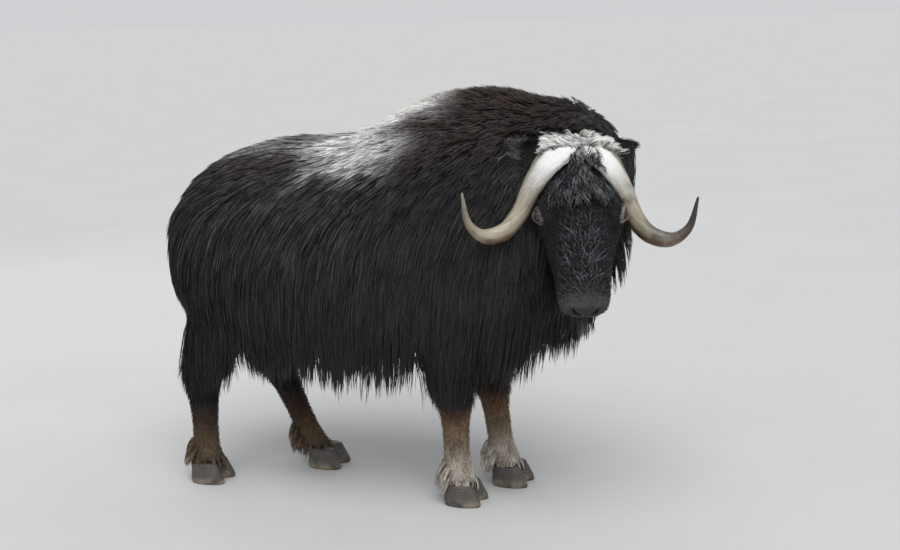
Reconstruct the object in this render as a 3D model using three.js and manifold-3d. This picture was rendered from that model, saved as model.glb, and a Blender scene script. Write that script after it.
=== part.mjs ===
// A muskox at life size, standing still with its head turned to its right.
// Millimetres. +X is the way the body faces, +Y its left and +Z up. The rows below are measured from a point
// on the ground midway between the front feet, and the finished animal is then moved onto the middle of its base.
import * as THREE from 'three';
import { mergeVertices } from 'three/addons/utils/BufferGeometryUtils.js';
import Module from 'manifold-3d';

const wasm = await Module();
wasm.setup();

// Driving sizes
const GAP = 0.3; // between pieces that touch
const CLEARANCE = 0.5; // how far a piece's skin is pushed out where another is cut clear of it
const WELD = 0.001; // vertices closer than this are one
const SHARPEST = 0.4; // a corner sharper than this moves out no further
const FINEST = 0.03; // slivers thinner than this are taken out of a finished piece
const HEAD_AT = new THREE.Vector3(337, -80, 1107); // middle of the back of the skull
const HEAD_YAW = THREE.MathUtils.degToRad(-71); // the muzzle points this far round from +X
const HEAD_PITCH = THREE.MathUtils.degToRad(50); // and this far down
const CROWN_AT = new THREE.Vector3(10, 0, 90); // top of the skull, in the head's own axes
const EYE_AT = new THREE.Vector3(214, 116, 12); // left eye, in the head's own axes
const EYE_RADIUS = 19;
const HORN_ROLL = THREE.MathUtils.degToRad(-2.5); // the horns lean to the animal's left by this
const HORN_SIDES = 10;
const HORN_STEPS = 17;
const COAT_SEED = 7;
const END_SHARE = 0.16; // share of a form's length over which its locks turn straight down

// Where each foot stands, and how the leg above it leans: [foot x, foot y, knee or hock x, hip x, hip y]
const FEET = {
  front_right: { foot: [-46, -104], joint: -60, top: [-50, -165], hind: false },
  front_left: { foot: [46, 104], joint: -2, top: [-22, 165], hind: false },
  hind_right: { foot: [-940, -128], joint: -935, top: [-850, -140], hind: true },
  hind_left: { foot: [-620, 112], joint: -790, top: [-845, 150], hind: true },
};

const UP = new THREE.Vector3(0, 0, 1);
const AHEAD = new THREE.Vector3(1, 0, 0);
const degrees = THREE.MathUtils.degToRad;

// The same run of small variations every time
let seed = COAT_SEED;
function vary(amount) {
  seed = (seed * 16807) % 2147483647;
  return (seed / 2147483647 - 0.5) * 2 * amount;
}

// Solids

// A closed skin over rings of points, with one point at each end.
function skinOver(rings, first, last) {
  const count = rings[0].length;
  const points = [...rings.flat(), first, last];
  const faces = [];
  for (let r = 0; r + 1 < rings.length; r++)
    for (let i = 0; i < count; i++) {
      const j = (i + 1) % count;
      const [a, b] = [r * count + i, r * count + j];
      faces.push(a, b, b + count, a, b + count, a + count);
    }
  const start = points.length - 2;
  const lastRing = (rings.length - 1) * count;
  for (let i = 0; i < count; i++) {
    const j = (i + 1) % count;
    faces.push(start, j, i, start + 1, lastRing + i, lastRing + j);
  }
  const geometry = new THREE.BufferGeometry().setFromPoints(points);
  geometry.setIndex(faces);
  return geometry;
}

// Moves every vertex so that each face around it moves out by `reach`, or further where the faces meet sharply.
function pushOut(position, index, reach) {
  const at = (i) => new THREE.Vector3().fromBufferAttribute(position, i);
  const around = Array.from({ length: position.count }, () => []);
  for (let i = 0; i < index.length; i += 3)
    for (let k = 0; k < 3; k++) {
      const [a, b, c] = [0, 1, 2].map((n) => at(index[i + ((k + n) % 3)]));
      const [ab, ac] = [b.sub(a), c.sub(a)];
      around[index[i + k]].push({ angle: ab.angleTo(ac), normal: ab.clone().cross(ac).normalize() });
    }
  around.forEach((faces, i) => {
    const out = new THREE.Vector3();
    for (const { angle, normal } of faces) out.addScaledVector(normal, angle);
    out.normalize();
    const flattest = Math.min(...faces.map(({ normal }) => normal.dot(out)));
    const moved = at(i).addScaledVector(out, reach / Math.max(flattest, SHARPEST));
    position.setXYZ(i, moved.x, moved.y, moved.z);
  });
}

// A manifold-3d solid from a closed geometry, its faces turned outwards and its skin pushed out by `grow`.
function solidOf(geometry, grow = 0) {
  const bare = geometry.clone();
  for (const name of ['normal', 'uv']) bare.deleteAttribute(name);
  const merged = mergeVertices(bare, WELD);
  const position = merged.getAttribute('position');
  const index = Array.from(merged.index.array);
  const corner = (i) => new THREE.Vector3().fromBufferAttribute(position, index[i]);
  let volume = 0;
  for (let i = 0; i < index.length; i += 3)
    volume += corner(i).dot(corner(i + 1).cross(corner(i + 2)));
  if (volume < 0)
    for (let i = 0; i < index.length; i += 3) [index[i], index[i + 1]] = [index[i + 1], index[i]];
  merged.setIndex(index);
  if (grow) pushOut(position, index, grow);
  return new wasm.Manifold(
    new wasm.Mesh({
      numProp: 3,
      vertProperties: new Float32Array(position.array),
      triVerts: new Uint32Array(index),
    }),
  );
}

const joined = (solids) => wasm.Manifold.union(solids);

// The largest closed surface of a solid, with loose scraps left behind and sealed hollows filled.
function largestOf(solid) {
  const shells = solid.decompose();
  return shells.reduce((best, one) => (one.volume() > best.volume() ? one : best));
}

function meshOf(name, solid, material) {
  const { numProp, vertProperties, triVerts } = largestOf(solid.setTolerance(FINEST)).getMesh();
  const points = new Float32Array((vertProperties.length / numProp) * 3);
  for (let i = 0; i * numProp < vertProperties.length; i++)
    points.set(vertProperties.subarray(i * numProp, i * numProp + 3), i * 3);
  const geometry = new THREE.BufferGeometry();
  geometry.setAttribute('position', new THREE.BufferAttribute(points, 3));
  geometry.setIndex(new THREE.BufferAttribute(triVerts, 1));
  const mesh = new THREE.Mesh(geometry, material);
  mesh.name = name;
  return mesh;
}

// Body forms

// A form swept through sections. A row is [x, y, z, half width, reach above, reach below]; `axis`, where given,
// keeps every section square to one direction, and `power` squares off its upper and lower halves.
class Form {
  constructor(rows, { up = UP, axis = null, power = [2, 2], caps = [20, 20] } = {}) {
    const line = (points) => new THREE.CatmullRomCurve3(points, false, 'catmullrom', 0.5);
    this.centres = line(rows.map(([x, y, z]) => new THREE.Vector3(x, y, z)));
    this.sizes = line(rows.map((row) => new THREE.Vector3(...row.slice(3))));
    Object.assign(this, { up, axis, power, caps });
  }

  // The section's centre, sideways and upward directions, and sizes, at t from 0 to 1
  section(t) {
    const along = this.axis ?? this.centres.getTangent(t);
    const side = new THREE.Vector3().crossVectors(this.up, along).normalize();
    const rise = new THREE.Vector3().crossVectors(along, side).normalize();
    return { at: this.centres.getPoint(t), along, side, rise, size: this.sizes.getPoint(t) };
  }

  // A point of the surface: `height` is the angle above the section's widest line, on the left or the right side
  point(t, height, hand = 1) {
    const { at, side, rise, size } = this.section(THREE.MathUtils.clamp(t, 0, 1));
    const above = Math.sin(height) >= 0;
    const bend = 2 / this.power[above ? 0 : 1];
    const across = Math.abs(Math.cos(height)) ** bend * size.x * Math.sign(Math.cos(height)) * hand;
    const climb = Math.abs(Math.sin(height)) ** bend * (above ? size.y : -size.z);
    return at.clone().addScaledVector(side, across).addScaledVector(rise, climb);
  }

  outward(t, height, hand) {
    const step = 0.02;
    const along = this.point(t + step, height, hand).sub(this.point(t - step, height, hand));
    const around = this.point(t, height + step, hand).sub(this.point(t, height - step, hand));
    return along.cross(around).multiplyScalar(hand).normalize().negate();
  }

  geometry(sides, rings) {
    const ringAt = (t) =>
      Array.from({ length: sides }, (_, i) => this.point(t, (2 * Math.PI * i) / sides));
    const ends = [this.section(0), this.section(1)];
    const first = ends[0].at.clone().addScaledVector(ends[0].along, -this.caps[0]);
    const last = ends[1].at.clone().addScaledVector(ends[1].along, this.caps[1]);
    const all = Array.from({ length: rings }, (_, r) => ringAt(r / (rings - 1)));
    return skinOver(all, first, last);
  }
}

// Locks of hair

const LOCK_SINK = 24; // how deep a root sits
const LOCK_BED = 9; // how deep a lying lock is bedded near its root
const lockShape = (share) => 0.55 + 2.2 * share - 2.4 * share * share; // width along the lock, from its root

// A flat lock of three-sided section along a line of points, tapering to its tip.
function lock(line, outwards, width, thickness) {
  const rings = [];
  for (let i = 0; i < line.length - 1; i++) {
    const along = line[i + 1].clone().sub(line[Math.max(i - 1, 0)]).normalize();
    const side = new THREE.Vector3().crossVectors(outwards[i], along).normalize();
    const shape = lockShape(i / (line.length - 1));
    rings.push([
      line[i].clone().addScaledVector(side, (width / 2) * shape),
      line[i].clone().addScaledVector(outwards[i], thickness * shape),
      line[i].clone().addScaledVector(side, (-width / 2) * shape),
    ]);
  }
  const middle = rings[0].reduce((sum, p) => sum.add(p), new THREE.Vector3()).divideScalar(3);
  return skinOver(rings, middle, line.at(-1));
}

// The line of a lock that grows from a form. `lean` turns it from lying back along the form (0) to straight down
// round it (90 degrees). Below `hangs` it hangs free, swings in by `swing` and drifts back by `drift`.
function lockOn(form, row) {
  const { t, height, hand, length, lean, lift, width, thickness, steps, hangs, swing, drift } = row;
  const step = length / steps;
  const root = form.point(t, height, hand);
  const out = form.outward(t, height, hand);
  const line = [root.clone().addScaledVector(out, -LOCK_SINK)];
  const outwards = [out];
  let [here, angle] = [t, height];
  let last = root;
  for (let i = 1; i <= steps; i++) {
    const share = i / steps;
    if (angle > hangs) {
      const tiny = 0.01;
      const perT = form.point(here + tiny, angle, hand).distanceTo(form.point(here - tiny, angle, hand));
      const perAngle = form.point(here, angle + tiny, hand).distanceTo(form.point(here, angle - tiny, hand));
      here -= (step * Math.cos(lean) * 2 * tiny) / Math.max(perT, 1);
      here = THREE.MathUtils.clamp(here, 0.01, 0.99);
      angle -= (step * Math.sin(lean) * 2 * tiny) / Math.max(perAngle, 1);
      outwards.push(form.outward(here, angle, hand));
      last = form.point(here, angle, hand).addScaledVector(outwards.at(-1), lift * share - LOCK_BED * (1 - share));
    } else {
      const sideways = outwards.at(-1).clone().setZ(0).normalize();
      last = last.clone().addScaledVector(UP, -step).addScaledVector(AHEAD, -drift * step);
      last.addScaledVector(sideways, -swing * step * share);
      outwards.push(sideways);
    }
    line.push(last);
  }
  return lock(line, outwards, width, thickness);
}

const PLAIN_ROW = {
  hands: [-1, 1],
  steps: 4,
  lift: 8,
  stagger: 0,
  thickness: 12,
  hangs: -16,
  swing: 0.25,
  drift: 0.12,
};

// Rows of overlapping locks on one form, every other row shifted by half a lock. At both ends of the form the
// locks hang straight down.
function coatOf(form, rows) {
  const locks = [];
  rows.map((row) => ({ ...PLAIN_ROW, ...row })).forEach((row, r) => {
    for (const hand of row.hands)
      for (let i = 0; i < row.count; i++) {
        const share = (i + (r % 2 ? 0.25 : 0.75)) / row.count;
        const t = THREE.MathUtils.lerp(row.from, row.to, share);
        const end = THREE.MathUtils.clamp(Math.max(1 - t / END_SHARE, 1 - (1 - t) / END_SHARE), 0, 1);
        locks.push(
          lockOn(form, {
            ...row,
            t: t + vary(0.006),
            hand,
            height: degrees(row.height + vary(4)),
            length: row.length * (1 + vary(0.16)),
            lean: degrees(THREE.MathUtils.lerp(row.lean + vary(7), 88, end)),
            lift: row.lift * (1 + vary(0.4)) + row.stagger * (i % 2 ? 1 : -1),
            width: row.width * (1 + vary(0.16)),
            hangs: degrees(row.hangs),
            swing: row.swing + vary(0.14),
            drift: row.drift + vary(0.12),
          }),
        );
      }
  });
  return locks;
}

// A lock standing on its own: it starts along `toward` and turns towards `falls` by its tip.
function freeLock({ root, toward, falls, outward, length, width, thickness = 9, steps = 3 }) {
  const start = toward.clone().normalize();
  const line = [root.clone().addScaledVector(start, -LOCK_SINK * 0.7)];
  for (let i = 1; i <= steps; i++) {
    const heading = start.clone().lerp(falls, (i - 0.5) / steps).normalize();
    line.push((i === 1 ? root : line.at(-1)).clone().addScaledVector(heading, length / steps));
  }
  return lock(line, line.map(() => outward), width, thickness);
}

// Torso: hump over the front legs, dip behind it, round croup. [x, top, bottom, half width]
const TORSO_ROWS = [
  [-1014, 900, 690, 110],
  [-980, 972, 610, 205],
  [-900, 1052, 530, 270],
  [-770, 1108, 490, 298],
  [-630, 1138, 470, 315],
  [-490, 1146, 462, 320],
  [-350, 1166, 462, 320],
  [-220, 1218, 465, 316],
  [-90, 1268, 472, 308],
  [40, 1284, 485, 292],
  [150, 1268, 515, 266],
  [250, 1225, 570, 226],
  [330, 1160, 640, 172],
  [372, 1090, 720, 110],
];
const COAT_CORE = 11; // how much of the coat's depth over the back is solid core
const WIDEST = 0.5; // height of the widest line, as a share of the way from belly to back

const torsoForm = new Form(
  TORSO_ROWS.map(([x, top, bottom, half]) => {
    const middle = THREE.MathUtils.lerp(bottom, top, WIDEST);
    return [x, 0, middle, half, top + COAT_CORE - middle, middle - bottom];
  }),
  { axis: AHEAD, power: [2.05, 2.5], caps: [22, 18] },
);

// Neck: from inside the shoulders round to the back of the head
const neckForm = new Form(
  [
    [150, 10, 900, 235, 330, 290],
    [240, 0, 935, 222, 322, 285],
    [310, -30, 970, 200, 270, 275],
    [350, -60, 995, 172, 216, 245],
    [372, -90, 1005, 134, 148, 180],
  ],
  { axis: new THREE.Vector3(0.82, -0.57, 0).normalize(), power: [2.6, 2.2], caps: [40, 20] },
);

// Where the neck is parted from the torso
const NECK_PLANE = { at: new THREE.Vector3(290, -20, 900), normal: new THREE.Vector3(0.86, -0.51, 0).normalize() };

// Tail: a short brush lying against the croup
const tailForm = new Form(
  [
    [-940, 0, 945, 34, 30, 30],
    [-1002, 0, 925, 36, 32, 32],
    [-1040, 0, 870, 36, 30, 30],
    [-1050, 0, 805, 28, 22, 22],
    [-1050, 0, 765, 12, 10, 10],
  ],
  { up: AHEAD, caps: [10, 12] },
);

// Head: skull and jaw, in the head's own axes, with the muzzle along +X
const skullForm = new Form(
  [
    [-66, 0, -14, 76, 62, 72],
    [-30, 0, -14, 106, 84, 104],
    [30, 0, -16, 122, 98, 124],
    [100, 0, -24, 126, 100, 130],
    [170, 0, -32, 126, 98, 126],
    [225, 0, -40, 119, 92, 116],
    [290, 0, -50, 101, 78, 96],
    [360, 0, -57, 84, 66, 76],
    [420, 0, -62, 78, 58, 60],
    [465, 0, -66, 73, 48, 44],
    [494, 0, -69, 52, 30, 26],
  ],
  { axis: AHEAD, power: [2.2, 2.2], caps: [16, 12] },
);
const jawForm = new Form(
  [
    [110, 0, -112, 70, 50, 50],
    [180, 0, -124, 76, 52, 56],
    [260, 0, -128, 62, 46, 42],
    [340, 0, -124, 52, 36, 30],
    [400, 0, -117, 47, 30, 24],
    [442, 0, -110, 38, 22, 20],
    [462, 0, -106, 22, 12, 10],
  ],
  { axis: AHEAD, power: [2, 2], caps: [20, 8] },
);
const MOUTH_LINE = { from: 330, to: 520, height: -99, slope: degrees(4), thickness: 5, depth: 9 };
const NOSTRIL = { at: [489, 27, -54], radii: [16, 7, 11], turn: degrees(35) };

// Hair of the head, in its own axes
const CROWN_LOCKS = 7;
const FORELOCK = [
  { ahead: 30, above: 78, count: 2, reach: 26 },
  { ahead: 78, above: 72, count: 3, reach: 44 },
  { ahead: 128, above: 64, count: 4, reach: 62 },
];
const BEARD = [
  { ahead: 120, across: 46, below: -140, length: 120 },
  { ahead: 200, across: 48, below: -160, length: 130 },
  { ahead: 270, across: 0, below: -158, length: 120 },
  { ahead: 330, across: 30, below: -146, length: 85 },
];

const headPlace = new THREE.Matrix4()
  .makeTranslation(HEAD_AT.x, HEAD_AT.y, HEAD_AT.z)
  .multiply(new THREE.Matrix4().makeRotationZ(HEAD_YAW))
  .multiply(new THREE.Matrix4().makeRotationY(HEAD_PITCH));

// Horns grow from the crown, so their line is [ahead of it, to the left, above, half width, half thickness]
const crown = CROWN_AT.clone().applyMatrix4(headPlace);
const hornPlace = new THREE.Matrix4()
  .makeTranslation(crown.x, crown.y, crown.z)
  .multiply(new THREE.Matrix4().makeRotationZ(HEAD_YAW))
  .multiply(new THREE.Matrix4().makeRotationX(HORN_ROLL));
const HORN_ROWS = [
  [-6, 34, -18, 40, 16],
  [12, 55, -32, 50, 24],
  [24, 90, -66, 48, 28],
  [26, 134, -140, 41, 28],
  [36, 169, -217, 35, 27],
  [60, 208, -260, 29, 24],
  [92, 267, -270, 21, 19],
  [116, 312, -232, 12, 12],
  [126, 334, -138, 3, 3],
];

function ellipsoid(centre, radii, { matrix = new THREE.Matrix4(), around = 12, down = 7 } = {}) {
  const geometry = new THREE.SphereGeometry(1, around, down);
  geometry.scale(...radii);
  geometry.applyMatrix4(matrix);
  geometry.translate(...centre);
  return geometry;
}

function hornGeometry(hand) {
  const line = new THREE.CatmullRomCurve3(
    HORN_ROWS.map(([ahead, left, above]) => new THREE.Vector3(ahead, left * hand, above)),
  );
  const sizes = new THREE.CatmullRomCurve3(
    HORN_ROWS.map(([, , , half, thick]) => new THREE.Vector3(half, thick, 0)),
  );
  const skullAxis = new THREE.Line3(
    new THREE.Vector3(-60, 0, -100),
    new THREE.Vector3(140, 0, -340),
  );
  const rings = Array.from({ length: HORN_STEPS }, (_, r) => {
    const t = r / HORN_STEPS;
    const at = line.getPoint(t);
    const size = sizes.getPoint(t);
    const along = line.getTangent(t);
    const away = at.clone().sub(skullAxis.closestPointToPoint(at, true, new THREE.Vector3()));
    away.addScaledVector(along, -away.dot(along)).normalize();
    const across = new THREE.Vector3().crossVectors(along, away);
    return Array.from({ length: HORN_SIDES }, (_, i) => {
      const angle = (2 * Math.PI * i) / HORN_SIDES;
      return at
        .clone()
        .addScaledVector(across, Math.cos(angle) * size.x)
        .addScaledVector(away, Math.sin(angle) * size.y);
    });
  });
  const butt = line.getPoint(0).addScaledVector(line.getTangent(0), -8);
  return skinOver(rings, butt, line.getPoint(1)).applyMatrix4(hornPlace);
}

// Ear: a leaf-shaped cup, open to the front. [share of its length, half width, depth of the cup]
const EARS = {
  left: { root: [-50, 84, -48], tip: [-96, 182, -18], opens: [1, 0.1, 0.1] }, // in the horns' axes
  right: { root: [-46, -92, -52], tip: [10, -208, 0], opens: [1, -0.1, -0.2] },
};
const EAR_ROWS = [
  [0, 20, 22],
  [0.2, 27, 24],
  [0.45, 33, 22],
  [0.7, 30, 17],
  [0.88, 20, 11],
];
const EAR_WALL = 7;

function earGeometry(ear) {
  const [root, tip, opens] = [ear.root, ear.tip, ear.opens].map((row) => new THREE.Vector3(...row));
  const along = tip.clone().sub(root).normalize();
  const front = opens.addScaledVector(along, -opens.dot(along)).normalize();
  const rise = new THREE.Vector3().crossVectors(along, front).normalize();
  if (rise.z < 0) rise.negate();
  const arc = 7;
  const rings = EAR_ROWS.map(([share, half, depth]) => {
    const at = root.clone().lerp(tip, share);
    const edge = (i, inset) => {
      const angle = Math.PI * (i / (arc - 1));
      return at
        .clone()
        .addScaledVector(rise, Math.cos(angle) * (half - inset * 0.4))
        .addScaledVector(front, -Math.sin(angle) * (depth - inset));
    };
    const wall = share === 0 ? depth * 0.9 : Math.min(EAR_WALL, depth * 0.6); // filled at the root
    const outer = Array.from({ length: arc }, (_, i) => edge(i, 0));
    const inner = Array.from({ length: arc - 2 }, (_, i) => edge(arc - 2 - i, wall));
    return [...outer, ...inner];
  });
  const butt = root.clone().addScaledVector(along, -14);
  return skinOver(rings, butt, tip).applyMatrix4(hornPlace);
}

// Legs, from the hoof's top to inside the body. [height, half width, reach ahead, reach behind]
const FORELEG_ROWS = [
  [545, 74, 92, 96],
  [470, 66, 76, 84],
  [400, 57, 62, 66],
  [335, 54, 58, 56],
  [275, 46, 50, 50],
  [200, 41, 44, 48],
  [130, 42, 44, 50],
  [100, 48, 52, 56],
  [66.3, 54, 60, 54],
];
const HINDLEG_ROWS = [
  [560, 80, 124, 104],
  [470, 72, 98, 90],
  [400, 60, 70, 74],
  [340, 50, 56, 66],
  [275, 45, 50, 58],
  [200, 41, 46, 52],
  [130, 41, 46, 52],
  [100, 47, 52, 56],
  [66.3, 53, 60, 54],
];
const JOINT_HEIGHT = { false: 335, true: 375 }; // knee of a foreleg, hock of a hind leg
const LEG_CUT = { false: 372, true: 412 }; // where the upper leg is parted from the lower

// How far ahead the middle of the leg is at a height below its knee or hock
const legAhead = ({ foot, joint, hind }, height) => foot[0] + ((joint - foot[0]) * height) / JOINT_HEIGHT[hind];

function legForm(leg) {
  const { foot, joint, top, hind } = leg;
  const rows = hind ? HINDLEG_ROWS : FORELEG_ROWS;
  const bend = JOINT_HEIGHT[hind];
  const highest = rows[0][0];
  return new Form(
    rows.map(([height, half, ahead, behind]) => {
      const upper = (height - bend) / (highest - bend);
      const x = height > bend ? joint + (top[0] - joint) * upper : legAhead(leg, height);
      const y = foot[1] + (top[1] - foot[1]) * Math.max(upper, 0);
      return [x, y, height, half, ahead, behind];
    }),
    { axis: new THREE.Vector3(0, 0, -1), up: AHEAD, caps: [0, 0] },
  );
}

// Hoof: two broad toes side by side. [height, half width, reach ahead, reach behind]
const TOE_ROWS = [
  [0, 31, 70, 50],
  [16, 32, 68, 52],
  [40, 29.5, 56, 50],
  [66, 26, 42, 44],
];
const DEWCLAW = { behind: 44, aside: 21, height: 104, radii: [15, 10, 17] };
const FETLOCK = { behind: 44, aside: 14, height: 112, length: 84, width: 36 };
const TOE_APART = 33; // from the middle of the foot to the middle of a toe
const TOE_SPLAY = degrees(5);

function toeGeometry(foot, hand) {
  const toe = new Form(
    TOE_ROWS.map(([height, half, ahead, behind]) => [0, 0, height, half, ahead, behind]),
    { axis: UP, up: AHEAD, power: [1.8, 2.4], caps: [0, 0] },
  );
  const geometry = toe.geometry(12, 4);
  geometry.rotateZ(TOE_SPLAY * hand);
  geometry.translate(foot[0] + 8, foot[1] + TOE_APART * hand, 0);
  return geometry;
}

// Coats. `from` and `to` run along the form, `height` is in degrees above its widest line.
const TORSO_COAT = [
  { height: -42, from: 0.03, to: 0.98, count: 12, length: 125, lean: 88, width: 62, swing: 0.1, lift: 2 },
  { height: -12, from: 0.01, to: 0.99, count: 18, length: 322, lean: 86, width: 78, steps: 5, swing: 0.18, stagger: 9 },
  { height: 18, from: 0.02, to: 0.97, count: 9, length: 260, lean: 68, width: 84, lift: 16 },
  { height: 44, from: 0.04, to: 0.95, count: 7, length: 230, lean: 46, width: 86, steps: 3, lift: 18 },
  { height: 68, from: 0.06, to: 0.97, count: 6, length: 200, lean: 22, width: 84, steps: 3, lift: 20 },
  { height: 90, from: 0.16, to: 0.99, count: 6, length: 190, lean: 3, width: 92, steps: 3, lift: 20, hands: [1] },
];
const NECK_COAT = [
  { height: -78, from: 0.45, to: 1, count: 3, length: 165, lean: 88, width: 54, swing: 0 },
  { height: -52, from: 0.45, to: 1, count: 4, length: 190, lean: 86, width: 58, swing: 0.1 },
  { height: -22, from: 0.45, to: 0.95, count: 3, length: 220, lean: 82, width: 66 },
  { height: 16, from: 0.4, to: 0.95, count: 2, length: 190, lean: 70, width: 80, steps: 3 },
  { height: 56, from: 0.4, to: 0.9, count: 2, length: 140, lean: 50, width: 80, steps: 3 },
];

// Colours
const coatDark = new THREE.MeshStandardMaterial({ color: 0x1b1512, roughness: 0.95 });
const coatFace = new THREE.MeshStandardMaterial({ color: 0x26211f, roughness: 0.95 });
const coatPale = new THREE.MeshStandardMaterial({ color: 0x8a7a5e, roughness: 0.95 });
const hornShell = new THREE.MeshStandardMaterial({ color: 0xa39478, roughness: 0.45 });
const hoofShell = new THREE.MeshStandardMaterial({ color: 0x4a4844, roughness: 0.6 });
const eyeBall = new THREE.MeshStandardMaterial({ color: 0x0d0906, roughness: 0.1 });

// Pieces

const horns = { left: hornGeometry(1), right: hornGeometry(-1) };
const ears = { left: earGeometry(EARS.left), right: earGeometry(EARS.right) };

const eyes = {};
const lids = [];
const brows = [];
for (const [side, hand] of [['left', 1], ['right', -1]]) {
  const at = EYE_AT.clone().setY(EYE_AT.y * hand);
  eyes[side] = ellipsoid(at.toArray(), [EYE_RADIUS, EYE_RADIUS, EYE_RADIUS], { down: 8 }).applyMatrix4(headPlace);
  const gaze = new THREE.Matrix4().lookAt(
    new THREE.Vector3(0.25, hand, 0.42),
    new THREE.Vector3(),
    new THREE.Vector3(1, 0, 0),
  );
  const rim = new THREE.TorusGeometry(EYE_RADIUS - 1, 6, 5, 12);
  rim.scale(1.12, 0.86, 1.3);
  rim.translate(0, 0, 10);
  lids.push(rim.applyMatrix4(gaze).translate(...at.toArray()).applyMatrix4(headPlace));
  const orbit = [at.x - 8, at.y - 18 * hand, at.z + 2];
  brows.push(ellipsoid(orbit, [48, 30, 40], { down: 6 }).applyMatrix4(headPlace));
}

const nostrils = [1, -1].map((hand) =>
  ellipsoid(
    [NOSTRIL.at[0], NOSTRIL.at[1] * hand, NOSTRIL.at[2]],
    NOSTRIL.radii,
    { matrix: new THREE.Matrix4().makeRotationX(NOSTRIL.turn * hand), around: 10, down: 6 },
  ).applyMatrix4(headPlace),
);

function mouthCut() {
  const { from, to, height, slope, thickness } = MOUTH_LINE;
  const plate = new THREE.BoxGeometry(to - from, 240, thickness);
  plate.translate((to - from) / 2, 0, 0).rotateY(-slope).translate(from, 0, height);
  return solidOf(plate.applyMatrix4(headPlace));
}

const headForms = [skullForm.geometry(18, 13), jawForm.geometry(12, 8)].map((g) => g.applyMatrix4(headPlace));
const headFlesh = joined(headForms.map((g) => solidOf(g)));
const mouthInside = joined(headForms.map((g) => solidOf(g, -MOUTH_LINE.depth)));

const clearOf = (geometries) => joined(geometries.map((g) => solidOf(g, CLEARANCE)));
const earRoom = joined([ears.left, ears.right].map((g) => solidOf(g, CLEARANCE).hull()));

// Hair of the head, in the head's own axes: pale crown, curled forelock and beard
const inHead = (x, y, z) => new THREE.Vector3(x, y, z).applyMatrix4(headPlace);
const headWay = (x, y, z) => new THREE.Vector3(x, y, z).transformDirection(headPlace);
const headLocks = [];
for (let i = 0; i < CROWN_LOCKS; i++) {
  const across = (i / (CROWN_LOCKS - 1)) * 2 - 1;
  headLocks.push(
    freeLock({
      root: inHead(-6 - 44 * across * across, across * 62, 66 - 22 * across * across),
      toward: headWay(-0.5 + vary(0.2), across * 1.1, 0.6),
      falls: headWay(-0.55, across * 1.6, 0.1),
      outward: headWay(0.7, 0, 0.7),
      length: 38 * (1 + vary(0.2)),
      width: 42,
    }),
  );
}
for (const [row, { ahead, above, count, reach }] of FORELOCK.entries())
  for (let i = 0; i < count; i++) {
    const across = ((i + 0.5) / count) * 2 - 1;
    headLocks.push(
      freeLock({
        root: inHead(ahead, across * reach, above - 14 * across * across),
        toward: headWay(0.8, across * 0.5 + vary(0.2), 0.6),
        falls: headWay(1, across * 0.35 + (row % 2 ? 0.15 : -0.15), -0.42),
        outward: headWay(0.2, 0, 1),
        length: 74 * (1 + vary(0.15)),
        width: 36,
        thickness: 14,
      }),
    );
  }
for (const { ahead, across, below, length } of BEARD)
  for (const hand of across ? [-1, 1] : [1])
    headLocks.push(
      freeLock({
        root: inHead(ahead, across * hand, below),
        toward: headWay(0, across * hand * 0.008, -1),
        falls: new THREE.Vector3(0, 0, -1),
        outward: headWay(0, hand, 0).setZ(0).normalize(),
        length: length * (1 + vary(0.1)),
        width: 44,
        steps: 4,
      }),
    );

const headSolid = joined([headFlesh, ...[...lids, ...brows, ...headLocks].map((g) => solidOf(g))])
  .subtract(mouthCut().subtract(mouthInside))
  .subtract(joined(nostrils.map((g) => solidOf(g))))
  .subtract(clearOf([horns.left, horns.right, eyes.left, eyes.right]))
  .subtract(earRoom);

const tailSkin = tailForm.geometry(10, 7);
const legs = Object.entries(FEET).map(([name, leg]) => ({ name, ...leg, form: legForm(leg) }));
const legSkins = legs.map(({ form }) => form.geometry(12, 10));

// Neck and torso are one coated body, parted by one plane in front of the shoulders
const body = joined(
  [
    torsoForm.geometry(24, 15),
    neckForm.geometry(18, 7),
    ...coatOf(torsoForm, TORSO_COAT),
    ...coatOf(neckForm, NECK_COAT),
  ].map((g) => solidOf(g)),
)
  .subtract(clearOf([...headForms, ...headLocks, horns.left, horns.right, eyes.left, eyes.right]))
  .subtract(earRoom)
  .subtract(clearOf([tailSkin, ...legSkins]));
const parting = NECK_PLANE.normal.dot(NECK_PLANE.at);
const neckSolid = body.trimByPlane(NECK_PLANE.normal.toArray(), parting + GAP / 2);
const torsoSolid = body.trimByPlane(NECK_PLANE.normal.clone().negate().toArray(), -parting + GAP / 2);

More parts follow.
